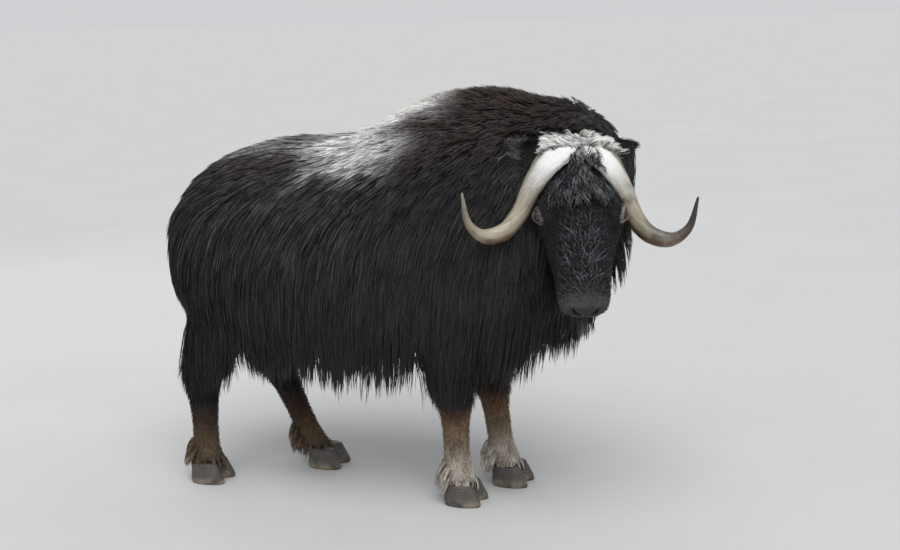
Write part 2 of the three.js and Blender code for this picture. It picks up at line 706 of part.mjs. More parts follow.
const muskox = new THREE.Group();
muskox.name = 'muskox';
muskox.add(
  meshOf('head', headSolid, coatFace),
  meshOf('neck', neckSolid, coatDark),
  meshOf('torso', torsoSolid, coatDark),
  meshOf('tail', solidOf(tailSkin), coatDark),
);
for (const side of ['left', 'right']) {
  muskox.add(
    meshOf(`horn_${side}`, solidOf(horns[side]), hornShell),
    meshOf(`ear_${side}`, solidOf(ears[side]), coatFace),
    meshOf(`eye_${side}`, solidOf(eyes[side]), eyeBall),
  );
}
legs.forEach((leg, i) => {
  const { name, foot, hind } = leg;
  const toes = [1, -1].map((hand) => toeGeometry(foot, hand));
  const back = [1, -1].map((hand) =>
    ellipsoid([legAhead(leg, DEWCLAW.height) - DEWCLAW.behind, foot[1] + DEWCLAW.aside * hand, DEWCLAW.height], DEWCLAW.radii, {
      around: 8,
      down: 4,
    }),
  );
  for (const hand of [-1, 1])
    back.push(
      freeLock({
        root: new THREE.Vector3(
          legAhead(leg, FETLOCK.height) - FETLOCK.behind,
          foot[1] + FETLOCK.aside * hand,
          FETLOCK.height,
        ),
        toward: new THREE.Vector3(-1, hand * 0.35, -0.7),
        falls: new THREE.Vector3(0.05, hand * 0.1, -1),
        outward: new THREE.Vector3(-1, hand * 0.4, 0).normalize(),
        length: FETLOCK.length * (1 + vary(0.15)),
        width: FETLOCK.width,
      }),
    );
  const whole = joined([legSkins[i], ...back].map((g) => solidOf(g)));
  const cut = LEG_CUT[hind];
  muskox.add(
    meshOf(`upper_leg_${name}`, whole.trimByPlane([0, 0, 1], cut + GAP / 2), coatDark),
    meshOf(`lower_leg_${name}`, whole.trimByPlane([0, 0, -1], -cut + GAP / 2), coatPale),
    meshOf(`toe_${name}_left`, solidOf(toes[0]), hoofShell),
    meshOf(`toe_${name}_right`, solidOf(toes[1]), hoofShell),
  );
});

const bounds = new THREE.Box3().setFromObject(muskox);
const middle = bounds.getCenter(new THREE.Vector3());
muskox.position.set(-middle.x, -middle.y, -bounds.min.z);

export default muskox;
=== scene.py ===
"""A muskox at life size, standing with its head turned to its right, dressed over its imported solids.

One skin carries the head, neck, trunk, tail, ears and legs. Long guard hair hangs over it in locks, with
short hair on the face and legs. Horns, eyes and hooves are pieces of their own. Sizes in the dataclasses are
millimetres from a point on the ground between the front feet, and every finished mesh is in metres.
"""

import logging
import math
from dataclasses import dataclass, fields
from enum import Enum

import bmesh
import bpy
import numpy as np
from bmesh.types import BMEdge, BMesh, BMVert
from bpy.types import ID, Material, Mesh, Node, NodeSocket, NodeTree, Object
from mathutils import Matrix, Vector
from mathutils.bvhtree import BVHTree


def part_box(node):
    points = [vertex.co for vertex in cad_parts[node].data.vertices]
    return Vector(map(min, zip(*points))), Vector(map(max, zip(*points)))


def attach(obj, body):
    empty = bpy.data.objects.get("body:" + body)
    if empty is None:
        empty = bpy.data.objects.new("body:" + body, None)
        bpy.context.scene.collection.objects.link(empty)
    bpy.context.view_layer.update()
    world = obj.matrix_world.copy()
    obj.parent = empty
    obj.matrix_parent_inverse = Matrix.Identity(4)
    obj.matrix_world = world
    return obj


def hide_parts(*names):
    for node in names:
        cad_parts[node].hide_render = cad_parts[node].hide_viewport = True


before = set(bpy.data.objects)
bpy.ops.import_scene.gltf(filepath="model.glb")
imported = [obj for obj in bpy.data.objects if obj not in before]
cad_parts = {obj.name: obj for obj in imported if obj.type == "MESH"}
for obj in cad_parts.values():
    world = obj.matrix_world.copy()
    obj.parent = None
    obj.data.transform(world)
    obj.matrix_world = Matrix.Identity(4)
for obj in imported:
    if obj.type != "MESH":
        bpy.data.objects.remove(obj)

Array = np.ndarray
Pair = tuple[float, float]
Triple = tuple[float, float, float]
Rgba = tuple[float, float, float, float]
Row = tuple[float, ...]
Zone = tuple[str, float, float]
Arrays3 = tuple[Array, Array, Array]

LOG = logging.getLogger("muskox")
MM = 0.001
FAR = 9999.0
DOWN = np.array((0.0, 0.0, -1.0))
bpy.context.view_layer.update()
BAKE_MAP = "OFBake"
BAKE_PATCH = 0.003

HEAD_AT = Vector((337, -80, 1107))
HEAD_TURN = math.radians(-71)
HEAD_DIP = math.radians(50)
HORN_ROLL = math.radians(-2.5)
CROWN_AT = Vector((10, 0, 90))
EYE_AT = Vector((214, 116, 12))
GAZE = (0.35, 0.70)
EYE_RADIUS = 19.0
HEAD_PLACE = (
    Matrix.Translation(HEAD_AT) @ Matrix.Rotation(HEAD_TURN, 4, "Z") @ Matrix.Rotation(HEAD_DIP, 4, "Y")
)
HEAD_BACK = HEAD_PLACE.inverted()
HORN_TURN = Matrix.Rotation(HEAD_TURN, 4, "Z") @ Matrix.Rotation(HORN_ROLL, 4, "X")
HORN_PLACE = Matrix.Translation(HEAD_PLACE @ CROWN_AT) @ HORN_TURN


def find_shift() -> Vector:
    """How far the solids' frame lies from the point between the front feet, from the left eye, in mm."""
    low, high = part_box("eye_left")
    return (low + high) * 500 - HEAD_PLACE @ EYE_AT


SHIFT = find_shift()
OFFSET = np.array(SHIFT)


def smooth(value: Array | float, low: float, high: float) -> Array:
    """A soft step from 0 at low to 1 at high."""
    share = np.clip((np.asarray(value, float) - low) / (high - low), 0, 1)
    return share * share * (3 - 2 * share)


def band(value: Array, low: float, high: float, soft: float) -> Array:
    """1 between low and high, falling to 0 over soft on both sides."""
    return smooth(value, low - soft, low + soft) * (1 - smooth(value, high - soft, high + soft))


def bell(value: Array, width: float) -> Array:
    """1 where value is 0, falling off to both sides."""
    return np.exp(-((value / width) ** 2))


def unit(rows: Array) -> Array:
    """Each row of vectors at length one."""
    return rows / np.maximum(np.linalg.norm(rows, axis=-1, keepdims=True), 1e-9)


def mix(first: Array, second: Array, share: Array) -> Array:
    """From first at share 0 to second at share 1, row by row."""
    share = np.asarray(share, float)
    if np.ndim(first) > np.ndim(share) or np.ndim(second) > np.ndim(share):
        share = share[..., None]
    return np.asarray(first) * (1 - share) + np.asarray(second) * share


def across(rows: Array, normals: Array) -> Array:
    """Each row of vectors laid square to its normal, at length one."""
    return unit(rows - normals * np.sum(rows * normals, axis=-1, keepdims=True))


def moved(matrix: Matrix, points: Array) -> Array:
    """Points taken through a matrix."""
    table = np.array(matrix)
    return points @ table[:3, :3].T + table[:3, 3]


def turned(matrix: Matrix, ways: Array) -> Array:
    """Directions taken through a matrix."""
    return ways @ np.array(matrix)[:3, :3].T


def columns(*values: Array | float) -> Array:
    """Columns of numbers side by side, a plain number filling its whole column."""
    return np.stack(np.broadcast_arrays(*values), 1)


def ripple(points: Array, scale: float, key: int) -> Array:
    """Smooth uneven waves over space, from about -1 to 1.

    Args:
        points: places in mm, one to a row.
        scale: the usual length of a wave in mm.
        key: which set of waves.
    Returns:
        One value for each point.
    """
    dice = np.random.default_rng(key)
    total = np.zeros(len(points))
    for _ in range(6):
        way = unit(dice.normal(size=3))
        pitch = math.tau * dice.uniform(0.6, 1.7) / scale
        total += np.sin(points @ way * pitch + dice.uniform(0, math.tau))
    return np.clip(total / 3.2, -1.2, 1.2)


def spline(points: list[Vector], share: float, centripetal: bool = False) -> Vector:
    """A point of the Catmull-Rom curve through points.

    Args:
        points: the points that the curve passes.
        share: the place along it, 0 to 1, each stretch between two points being an equal part.
        centripetal: whether stretches are weighted by the root of their length.
    Returns:
        The point.
    """
    spans = len(points) - 1
    place = min(max(share, 0.0), 1.0) * spans
    i = min(int(place), spans - 1)
    t = place - i
    b, c = points[i], points[i + 1]
    a = points[i - 1] if i else b * 2 - c
    d = points[i + 2] if i + 2 <= spans else c * 2 - b
    steps = [1.0, 1.0, 1.0]
    if centripetal:
        steps = [max((q - p).length ** 0.5, 1e-4) for p, q in ((a, b), (b, c), (c, d))]
    leave = ((b - a) / steps[0] - (c - a) / (steps[0] + steps[1]) + (c - b) / steps[1]) * steps[1]
    enter = ((c - b) / steps[1] - (d - b) / (steps[1] + steps[2]) + (d - c) / steps[2]) * steps[1]
    square = c * 3 - b * 3 - leave * 2 - enter
    cube = b * 2 - c * 2 + leave + enter
    return b + leave * t + square * t * t + cube * t * t * t


def slope(points: list[Vector], share: float, centripetal: bool = False) -> Vector:
    """The direction of the curve through points at a share of it."""
    step = 0.001
    ahead = spline(points, min(share + step, 1), centripetal)
    return (ahead - spline(points, max(share - step, 0), centripetal)).normalized()


def loft(bm: BMesh, rings: list[list[Vector]], ends: tuple[Vector, Vector]) -> list:
    """Draws closed rings of equal count out into one tube, drawn to a point at both ends.

    Args:
        bm: the mesh to build in.
        rings: the points of each ring.
        ends: the point before the first ring and the one past the last.
    Returns:
        The vertices of the tube.
    """
    row = bmesh.ops.create_circle(bm, segments=len(rings[0]), radius=1)["verts"]
    edges = list(dict.fromkeys(edge for vert in row for edge in vert.link_edges))
    first, made = edges, list(row)
    for vert, point in zip(row, rings[0]):
        vert.co = point
    for ring in rings[1:]:
        geom = bmesh.ops.extrude_edge_only(bm, edges=edges)["geom"]
        fresh = {g for g in geom if isinstance(g, BMVert)}
        row = [next(e.other_vert(v) for e in v.link_edges if e.other_vert(v) in fresh) for v in row]
        edges = [g for g in geom if isinstance(g, BMEdge) and set(g.verts) <= fresh]
        for vert, point in zip(row, ring):
            vert.co = point
        made += row
    for loop, point in ((first, ends[0]), (edges, ends[1])):
        lid = bmesh.ops.edgeloop_fill(bm, edges=loop)["faces"]
        for vert in bmesh.ops.poke(bm, faces=lid)["verts"]:
            vert.co = point
            made.append(vert)
    return made


def relax(bm: BMesh, verts: object) -> None:
    """Moves vertices halfway to the mean of their neighbours."""
    bmesh.ops.smooth_vert(bm, verts=verts, factor=0.5, use_axis_x=True, use_axis_y=True, use_axis_z=True)


def new_piece(name: str, data: ID) -> Object:
    """Links a mesh, light or camera into the scene as an object at the origin."""
    piece = bpy.data.objects.new(name, data)
    bpy.context.scene.collection.objects.link(piece)
    return piece


def piece_from(bm: BMesh, name: str, place: Matrix = Matrix()) -> Object:
    """Makes an object of a bmesh in mm, in metres in the solids' frame, with its faces turned outwards.

    Args:
        bm: the mesh, which is freed.
        name: the object's name.
        place: how the mesh lies in the body's own frame.
    Returns:
        The object, smooth shaded.
    """
    bmesh.ops.remove_doubles(bm, verts=bm.verts, dist=0.01)
    bmesh.ops.recalc_face_normals(bm, faces=bm.faces)
    bm.transform(Matrix.Scale(MM, 4) @ Matrix.Translation(SHIFT) @ place)
    mesh = bpy.data.meshes.new(name)
    bm.to_mesh(mesh)
    bm.free()
    mesh.shade_smooth()
    return new_piece(name, mesh)


def dress(piece: Object, material: Material, nodes: list[str]) -> None:
    """Gives a piece its material and body, hides the solids that it stands for, and reports it.

    Args:
        piece: the finished object.
        material: its material.
        nodes: the solids it replaces, which may be none.
    """
    piece.data.materials.clear()
    piece.data.materials.append(material)
    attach(piece, "root")
    if nodes:
        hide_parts(*nodes)
    piece.data.calc_loop_triangles()
    LOG.info("%s: %d triangles", piece.name, len(piece.data.loop_triangles))


def table_of(rows: object, name: str, width: int, kind: type = np.float32) -> Array:
    """One property of every item in a Blender collection, as a table of so many columns."""
    flat = np.empty(len(rows) * width, kind)
    rows.foreach_get(name, flat)
    return flat.reshape(-1, width)


def store(mesh: Mesh, name: str, values: Array) -> None:
    """Keeps one vector to a vertex in a mesh, under a name that a material reads."""
    attribute = mesh.attributes.get(name) or mesh.attributes.new(name, "FLOAT_VECTOR", "POINT")
    attribute.data.foreach_set("vector", np.ascontiguousarray(values, np.float32).ravel())


@dataclass(eq=False)
class Form:
    """A body form swept through sections of rows [x, y, z, half width, reach above, reach below]."""

    rows: list[Row]
    up: Triple = (0, 0, 1)
    axis: Triple | None = None
    power: Pair = (2, 2)
    caps: Pair = (20, 20)

    def __post_init__(self) -> None:
        """Keeps the rows as the points of two curves."""
        self.centres = [Vector(row[:3]) for row in self.rows]
        self.sizes = [Vector(row[3:]) for row in self.rows]

    def section(self, share: float) -> tuple[Vector, Vector, Vector, Vector, Vector]:
        """The centre, size and the directions along, aside and up of a section, at a share of the form."""
        along = Vector(self.axis).normalized() if self.axis else slope(self.centres, share)
        side = Vector(self.up).cross(along).normalized()
        rise = along.cross(side).normalized()
        return spline(self.centres, share), spline(self.sizes, share), along, side, rise

    def ring(self, share: float, sides: int, shrink: float) -> list[Vector]:
        """The points round one section.

        Args:
            share: its place along the form.
            sides: how many points.
            shrink: how far the skin lies inside the form.
        Returns:
            The points in order.
        """
        at, size, _, side, rise = self.section(share)
        points = []
        for i in range(sides):
            angle = math.tau * i / sides
            cos, sin = math.cos(angle), math.sin(angle)
            bend = 2 / self.power[0 if sin >= 0 else 1]
            reach = (size.y if sin >= 0 else size.z) - shrink
            wide = math.copysign(abs(cos) ** bend, cos) * (size.x - shrink)
            points.append(at + side * wide + rise * math.copysign(abs(sin) ** bend, sin) * reach)
        return points

    def build(self, bm: BMesh, sides: int, rings: int, shrink: float = 0) -> list:
        """Lofts the form into a mesh with so many sides and rings, and returns the new vertices."""
        shares = [r / (rings - 1) for r in range(rings)]
        head, tail = self.section(0), self.section(1)
        ends = (head[0] - head[2] * self.caps[0], tail[0] + tail[2] * self.caps[1])
        return loft(bm, [self.ring(share, sides, shrink) for share in shares], ends)


class Side(Enum):
    """The animal's own left and right, as the sign of Y."""

    LEFT = 1
    RIGHT = -1

    @property
    def word(self) -> str:
        """The side's name in lower case."""
        return self.name.lower()


# Each ear's root, tip and the way it opens, in the horns' axes
EARS = {
    Side.LEFT: ((-50, 84, -48), (-96, 182, -18), (1, 0.1, 0.1)),
    Side.RIGHT: ((-46, -92, -52), (10, -208, 0), (1, -0.1, -0.2)),
}


def ear_ends(side: Side) -> tuple[Array, Array]:
    """An ear's root and its tip."""
    root, tip, _ = EARS[side]
    return np.array(HORN_PLACE @ Vector(root)), np.array(HORN_PLACE @ Vector(tip))


@dataclass(frozen=True)
class Leg:
    """Where one foot stands and how its leg leans, in mm."""

    name: str
    foot: Pair
    joint: float
    top: Pair
    hind: bool

    @property
    def bend(self) -> float:
        """Height of the knee or hock."""
        return 375 if self.hind else 335

    @property
    def rows(self) -> list[Row]:
        """Sections from the body down to the hoof: height, half width, reach ahead and behind."""
        if self.hind:
            return [
                (560, 80, 124, 104), (470, 72, 98, 90), (400, 60, 70, 74), (340, 50, 56, 66),
                (275, 45, 50, 58), (200, 41, 46, 52), (130, 41, 46, 52), (100, 47, 52, 56),
                (66.3, 53, 60, 54),
            ]
        return [
            (545, 74, 92, 96), (470, 66, 76, 84), (400, 57, 62, 66), (335, 54, 58, 56), (275, 46, 50, 50),
            (200, 41, 44, 48), (130, 42, 44, 50), (100, 48, 52, 56), (66.3, 54, 60, 54),
        ]

    def ahead(self, height: float | Array) -> float | Array:
        """How far ahead the middle of the leg is at a height below its joint."""
        return self.foot[0] + (self.joint - self.foot[0]) * height / self.bend

    def form(self) -> Form:
        """The leg's form, leaning from the foot to its root in the body."""
        highest = self.rows[0][0]
        rows = []
        for height, half, ahead, behind in self.rows:
            upper = max((height - self.bend) / (highest - self.bend), 0)
            x = self.joint + (self.top[0] - self.joint) * upper if upper else self.ahead(height)
            rows.append((x, self.foot[1] + (self.top[1] - self.foot[1]) * upper, height, half, ahead, behind))
        rows[-1] = (*rows[-1][:2], 64, *rows[-1][3:])
        return Form(rows, up=(1, 0, 0), axis=(0, 0, -1), caps=(0, 0))


LEGS = [
    Leg("front_right", (-46, -104), -60, (-50, -165), False),
    Leg("front_left", (46, 104), -2, (-22, 165), False),
    Leg("hind_right", (-940, -128), -935, (-850, -140), True),
    Leg("hind_left", (-620, 112), -790, (-845, 150), True),
]


class Shader:
    """A node tree being built, with short calls for the nodes that the finishes share."""

    def __init__(self, tree: NodeTree) -> None:
        """Starts on an empty tree."""
        self.tree = tree
        tree.nodes.clear()

    def add(self, kind: str, **settings: object) -> Node:
        """Adds a node of a kind, named without its prefix, with its properties set."""
        node = self.tree.nodes.new(kind if kind.startswith("NodeGroup") else "ShaderNode" + kind)
        for key, value in settings.items():
            setattr(node, key, value)
        return node

    def feed(self, socket: NodeSocket, value: object) -> None:
        """Links an output to a socket, or sets the socket to a plain value."""
        if isinstance(value, NodeSocket):
            self.tree.links.new(value, socket)
        else:
            socket.default_value = value

    def fill(self, node: Node, **values: object) -> Node:
        """Feeds a node's inputs by their names, with _ for a space in a name, and returns the node."""
        for name, value in values.items():
            self.feed(node.inputs[name.replace("_", " ")], value)
        return node

    def attribute(self, name: str) -> NodeSocket:
        """The vector kept on the mesh under a name."""
        return self.add("Attribute", attribute_name=name).outputs["Vector"]

    def parts(self, vector: NodeSocket) -> list[NodeSocket]:
        """The three numbers of a vector."""
        node = self.add("SeparateXYZ")
        self.feed(node.inputs[0], vector)
        return list(node.outputs)

    def object_place(self, stretch: Triple = (1, 1, 1)) -> NodeSocket:
        """The place on the piece, in metres, scaled along each axis."""
        place = self.add("TexCoord").outputs["Object"]
        if stretch == (1, 1, 1):
            return place
        return self.fill(self.add("Mapping"), Vector=place, Scale=stretch).outputs[0]

    def math(self, operation: str, *values: object) -> NodeSocket:
        """The result of a sum on one to three numbers."""
        node = self.add("Math", operation=operation)
        for socket, value in zip(node.inputs, values):
            self.feed(socket, value)
        return node.outputs[0]

    def times(self, first: object, second: object) -> NodeSocket:
        """The product of two numbers."""
        return self.math("MULTIPLY", first, second)

    def times_add(self, first: object, second: object, added: object) -> NodeSocket:
        """The product of two numbers, with a third added."""
        return self.math("MULTIPLY_ADD", first, second, added)

    def scaled(self, colour: NodeSocket, factor: object) -> NodeSocket:
        """A colour made lighter or darker by a factor."""
        return self.fill(self.add("VectorMath", operation="SCALE"), Vector=colour, Scale=factor).outputs[0]

    def fit(self, value: object, low: float, high: float, start: float = 0, end: float = 1) -> object:
        """A number taken from one range to another, softly and no further."""
        node = self.add("MapRange", interpolation_type="SMOOTHSTEP")
        for socket, number in zip(node.inputs, (value, low, high, start, end)):
            self.feed(socket, number)
        return node.outputs[0]

    def noise(self, place: object, scale: float, detail: float = 3, rough: float = 0.55) -> object:
        """Noise over a place, 0 to 1."""
        node = self.add("TexNoise")
        return self.fill(node, Vector=place, Scale=scale, Detail=detail, Roughness=rough).outputs[0]

    def blend(self, first: object, second: object, share: object, kind: str = "MIX") -> object:
        """Two colours mixed by a share."""
        node = self.add("Mix", data_type="RGBA", blend_type=kind)
        sockets = [s for s in node.inputs if s.type == "RGBA"]
        self.feed(node.inputs[0], share)
        self.feed(sockets[0], first)
        self.feed(sockets[1], second)
        return next(s for s in node.outputs if s.type == "RGBA")

    def surface(self, **values: object) -> None:
        """Ends a material in a Principled shader, its sockets fed by their names."""
        shader = self.fill(self.add("BsdfPrincipled"), **values)
        self.feed(self.add("OutputMaterial").inputs[0], shader.outputs[0])

    def bump(self, height: object, strength: float, distance: float) -> object:
        """A normal raised by a height of 0 to 1, the distance being the height of 1 in metres."""
        return self.fill(self.add("Bump"), Height=height, Strength=strength, Distance=distance).outputs[0]


def new_material(name: str) -> tuple[Material, Shader]:
    """An empty material and the builder of its node tree."""
    material = bpy.data.materials.new(name)
    material.use_nodes = True
    return material, Shader(material.node_tree)


@dataclass(frozen=True)
class CoatColours:
    """The coat's colours, as linear red, green and blue."""

    black: Rgba = (0.0046, 0.0042, 0.0052, 1)
    brown: Rgba = (0.060, 0.036, 0.026, 1)
    slate: Rgba = (0.155, 0.165, 0.185, 1)
    cream: Rgba = (0.78, 0.77, 0.74, 1)
    tan: Rgba = (0.30, 0.215, 0.125, 1)
    rust: Rgba = (0.15, 0.07, 0.03, 1)

    def group(self) -> NodeTree:
        """The node group that mixes them by the markings, the place along a hair and its tint."""
        known = bpy.data.node_groups.get("coat_colours")
        if known:
            return known
        tree = bpy.data.node_groups.new("coat_colours", "ShaderNodeTree")
        for name in ("Markings", "Strand", "Legs", "Place"):
            tree.interface.new_socket(name, in_out="INPUT", socket_type="NodeSocketVector")
        tree.interface.new_socket("Color", in_out="OUTPUT", socket_type="NodeSocketColor")
        build = Shader(tree)
        given = build.add("NodeGroupInput")
        cream, brown, slate = build.parts(given.outputs["Markings"])
        along, tint, _ = build.parts(given.outputs["Strand"])
        tan, rust, _ = build.parts(given.outputs["Legs"])
        tips = build.fit(along, 0.1, 0.95)
        patches = build.noise(given.outputs["Place"], 55, 3, 0.6)
        brown = build.times(brown, build.times_add(tips, 0.8, 0.2))
        colour = build.blend(self.black, self.brown, brown)
        greyed = build.times(build.fit(tint, 0.42, 0.78), build.fit(patches, 0.3, 0.7, 0.5, 1))
        colour = build.blend(colour, self.slate, build.times(slate, greyed))
        colour = build.blend(colour, self.rust, rust)
        colour = build.blend(colour, self.tan, tan)
        pale = build.times(cream, build.times_add(tips, 0.30, 0.70))
        colour = build.blend(colour, self.cream, pale)
        lit = build.fit(tint, 0, 1, 0.62, 1.5)
        lit = build.times(lit, build.fit(patches, 0.25, 0.75, 0.8, 1.2))
        lit = build.times(lit, build.times_add(tips, 0.45, 0.68))
        even = build.times(pale, 0.6)
        lit = build.times(lit, build.math("SUBTRACT", 1.0, even))
        lit = build.times_add(even, 1.36, lit)
        build.feed(build.add("NodeGroupOutput").inputs[0], build.scaled(colour, lit))
        return tree

    def on(self, build: Shader, place: NodeSocket) -> NodeSocket:
        """The coat's colour in a material, by the markings kept on the mesh and a place for its patches."""
        kept = {name.capitalize(): build.attribute(name) for name in ("markings", "strand", "legs")}
        return build.fill(build.add("Group", node_tree=self.group()), Place=place, **kept).outputs[0]


@dataclass(frozen=True)
class HairFinish:
    """Hair of one part of the coat."""

    name: str
    roughness: float = 0.5
    sheen: float = 0.08

    def material(self) -> Material:
        """Builds the material, coloured by the markings kept on the hair."""
        material, build = new_material(self.name)
        fine = build.noise(build.object_place(), 900, 2)
        build.surface(
            Base_Color=CoatColours().on(build, build.attribute("root")),
            Roughness=build.fit(fine, 0.3, 0.7, self.roughness - 0.08, self.roughness + 0.1),
            Sheen_Weight=self.sheen, Sheen_Roughness=0.4, Specular_IOR_Level=0.30,
            Normal=build.bump(fine, 0.35, 0.0006),
        )
        return material


@dataclass(frozen=True)
class SkinFinish:
    """The skin between and under the hair: short fur, with bare leather at the nose, lips and lids."""

    name: str = "short_fur_and_skin"
    leather: Rgba = (0.032, 0.027, 0.028, 1)
    lid: Rgba = (0.27, 0.225, 0.22, 1)

    def material(self) -> Material:
        """Builds the material, with fur streaks by bump and bare places by the mask kept on the skin."""
        material, build = new_material(self.name)
        place = build.object_place()
        colour = CoatColours().on(build, place)
        bare, rims, recess_shade = build.parts(build.attribute("bare"))
        streaks = build.noise(build.object_place((1.0, 1.0, 0.28)), 520, 4, 0.62)
        pores = build.noise(place, 1500, 3, 0.7)
        creases = build.fill(build.add("TexVoronoi", feature="DISTANCE_TO_EDGE"), Vector=place, Scale=420)
        crease = build.fit(creases.outputs["Distance"], 0.0, 0.12)
        colour = build.scaled(colour, build.fit(streaks, 0.3, 0.7, 0.55, 1.35))
        colour = build.blend(colour, self.leather, bare)
        # The lid mask holds painted light and shade: the right lid has half the share of the left.
        colour = build.blend(colour, self.lid, build.times(rims, build.fit(pores, 0.3, 0.7, 0.6, 1)))
        # Painted shade: the eye openings, nostrils and line of the mouth darkened nearly to black.
        colour = build.blend(colour, (0.01, 0.007, 0.007, 1), recess_shade)
        height = build.times(build.math("SUBTRACT", 1.0, bare), streaks)
        height = build.times_add(build.times(crease, 0.6), bare, height)
        height = build.times_add(pores, 0.25, height)
        rough = build.times_add(bare, -0.3, build.fit(streaks, 0.3, 0.7, 0.62, 0.85))
        build.surface(
            Base_Color=colour,
            Roughness=rough,
            Specular_IOR_Level=0.35,
            Normal=build.bump(height, 0.8, 0.0022),
        )
        return material


@dataclass(frozen=True)
class Markings:
    """Where the coat's colours lie: spans ahead, and heights, in the body's frame or the head's own."""

    saddle: Pair = (-450, -130)
    saddle_height: Pair = (1030, 1125)
    ridge: Pair = (-860, -500)
    ridge_height: Pair = (1085, 1125)
    crest: Pair = (-260, -10)
    crest_height: Pair = (1205, 1262)
    hump: Pair = (-330, 330)
    hump_height: Pair = (1030, 1210)
    loin: Pair = (-960, -260)
    flank: Pair = (-930, -150)
    flank_height: Pair = (860, 1120)
    crown: Pair = (-16, 44)
    forelock: Pair = (34, 165)
    bridge: Pair = (240, 470)
    jowl: Pair = (60, 300)
    chin: Pair = (330, 520)
    shin_top: Pair = (205, 330)
    fetlock_top: Pair = (120, 215)
    bare_heights: Pair = (300, 480)

    def at(self, points: Array, normals: Array) -> tuple[Array, Array]:
        """The markings at places on the skin.

        Args:
            points: the places, one to a row.
            normals: the skin's outward directions there.
        Returns:
            Cream, brown and slate shares, and tan and rust shares with a spare, one row to a place.
        """
        x, _, z = points.T
        ragged = ripple(points, 45, 4)
        cream, brown, slate = self.body(points, normals, ragged)
        head = moved(HEAD_BACK, points)
        on_head = head_share(head)
        pale, dun, grey = self.face(head, on_head, ragged)
        mane = 0.35 * band(x, 200, 420, 60) * smooth(z, 1000, 1150) * (1 - on_head)
        cream = np.maximum(mix(cream, 0, on_head), pale)
        brown = np.maximum(mix(brown, dun, on_head), mane)
        slate = np.maximum(mix(slate, 0, on_head), grey)
        cup, ear = ear_share(points, normals)
        near = cup * (head[:, 1] < 0)
        cream = np.maximum(mix(cream, 0, ear), 0.30 * near)
        brown = mix(brown, 0.3, ear)
        slate = np.maximum(mix(slate, 0, ear), 0.2 * cup + 0.8 * near)
        tan, rust, pale = self.shins(x, z, ragged)
        low, high = self.bare_heights
        cream = np.maximum(cream, pale) * ((z > high) | (z < low))
        legs = np.clip(columns(tan, rust, 0), 0, 1) * (z < 460)[:, None]
        return np.clip(columns(cream, brown, slate), 0, 1), legs

    def body(self, points: Array, normals: Array, ragged: Array) -> Arrays3:
        """Cream, brown and slate shares over trunk and neck."""
        x, _, z = points.T
        wave = ripple(points, 170, 3)
        uneven = 0.6 * wave + 0.4 * ragged
        saddle = band(x + 60 * wave, *self.saddle, 100) * smooth(z + 44 * uneven, *self.saddle_height)
        saddle *= 0.15 + 0.85 * smooth(normals[:, 2], 0.25, 0.75)
        ridge = band(x + 60 * wave, *self.ridge, 90) * smooth(z + 18 * uneven, *self.ridge_height)
        crest = band(x, *self.crest, 50) * smooth(z + 16 * uneven, *self.crest_height)
        cream = 0.98 * saddle * (0.88 + 0.22 * ragged) + 0.30 * ridge * (0.7 + 0.5 * ragged) + 0.45 * crest
        hump = band(x, *self.hump, 110) * smooth(z + 45 * uneven, *self.hump_height)
        faint = 0.10 + 0.25 * smooth(ripple(points, 90, 8), -0.2, 0.9)
        sides = smooth(z + 60 * uneven, 760, 1080) * faint
        loin = 0.50 * band(x, *self.loin, 110) * smooth(z + 50 * uneven, 950, 1090)
        brown = np.maximum(np.maximum(0.75 * hump + 0.25 * crest, sides), loin)
        flank = 0.30 * band(x, *self.flank, 110) * band(z + 50 * uneven, *self.flank_height, 70)
        return cream, brown, np.maximum(flank, 0.10 * smooth(z, 560, 800))

    def face(self, head: Array, on_head: Array, ragged: Array) -> Arrays3:
        """Cream, brown and slate shares on the head, for places in its own axes and their shares of it."""
        ahead, aside, above = head.T
        wide = np.abs(aside)
        off = np.abs(aside - parting(ahead))
        white = band(ahead, *self.crown, 8) * smooth(above, 0, 20) * (1 - smooth(wide, 96, 112))
        white *= (1 - 0.5 * smooth(16 - off, 0, 12) * smooth(ahead, -10, 30)) * on_head
        forelock = band(ahead, *self.forelock, 20) * (1 - smooth(off - 0.46 * (ahead - 40), 20, 50))
        forelock *= smooth(above, 0, 40) * on_head
        bridge = band(ahead, *self.bridge, 36) * (1 - smooth(wide, 34, 66)) * smooth(above, -40, 6) * on_head
        jowl = band(ahead, *self.jowl, 60) * smooth(wide, 70, 110) * smooth(-above, -20, 60) * on_head
        chin = band(ahead, *self.chin, 40) * smooth(-above, 108, 140) * (1 - smooth(wide, 52, 74)) * on_head
        flecks = 0.16 * forelock * smooth(ragged, -0.1, 0.9)
        cream = np.maximum(np.maximum(white, flecks), 0.10 * smooth(ahead, 420, 485) * on_head + 0.16 * chin)
        slate = np.maximum((0.72 * forelock + 0.62 * bridge) * (1 - white), 0.10 * jowl)
        return cream, 0.06 + 0.7 * chin, slate

    def shins(self, x: Array, z: Array, ragged: Array) -> Arrays3:
        """Tan, rust and cream shares on the legs, the fore ones paler than the hind ones."""
        front = smooth(x, -420, -260)
        shin = 1 - smooth(z + 30 * ragged, *self.shin_top)
        fetlock = 1 - smooth(z + 16 * ragged, *self.fetlock_top)
        tan = np.maximum(shin * (0.72 + 0.2 * ragged) * front, 0.30 * fetlock * (1 - front))
        knee = 0.75 * band(z + 18 * ragged, 235, 350, 30) * front
        rust = np.maximum(knee, 0.30 * band(z, 90, 250, 50) * (1 - front))
        return tan, rust, 0.55 * fetlock * front * (0.7 + 0.3 * ragged)


def parting(ahead: Array) -> Array:
    """How far aside the middle of the forelock lies, places being given by how far ahead they are."""
    return 18 - 0.10 * np.clip(ahead, -40, 180)


def within(head: Array, ahead: Pair, aside: float, above: Pair) -> Array:
    """Which places lie in a box in the head's own axes that reaches equally far to both sides."""
    x, y, z = np.moveaxis(head, -1, 0)
    return (x > ahead[0]) & (x < ahead[1]) & (np.abs(y) < aside) & (z > above[0]) & (z < above[1])


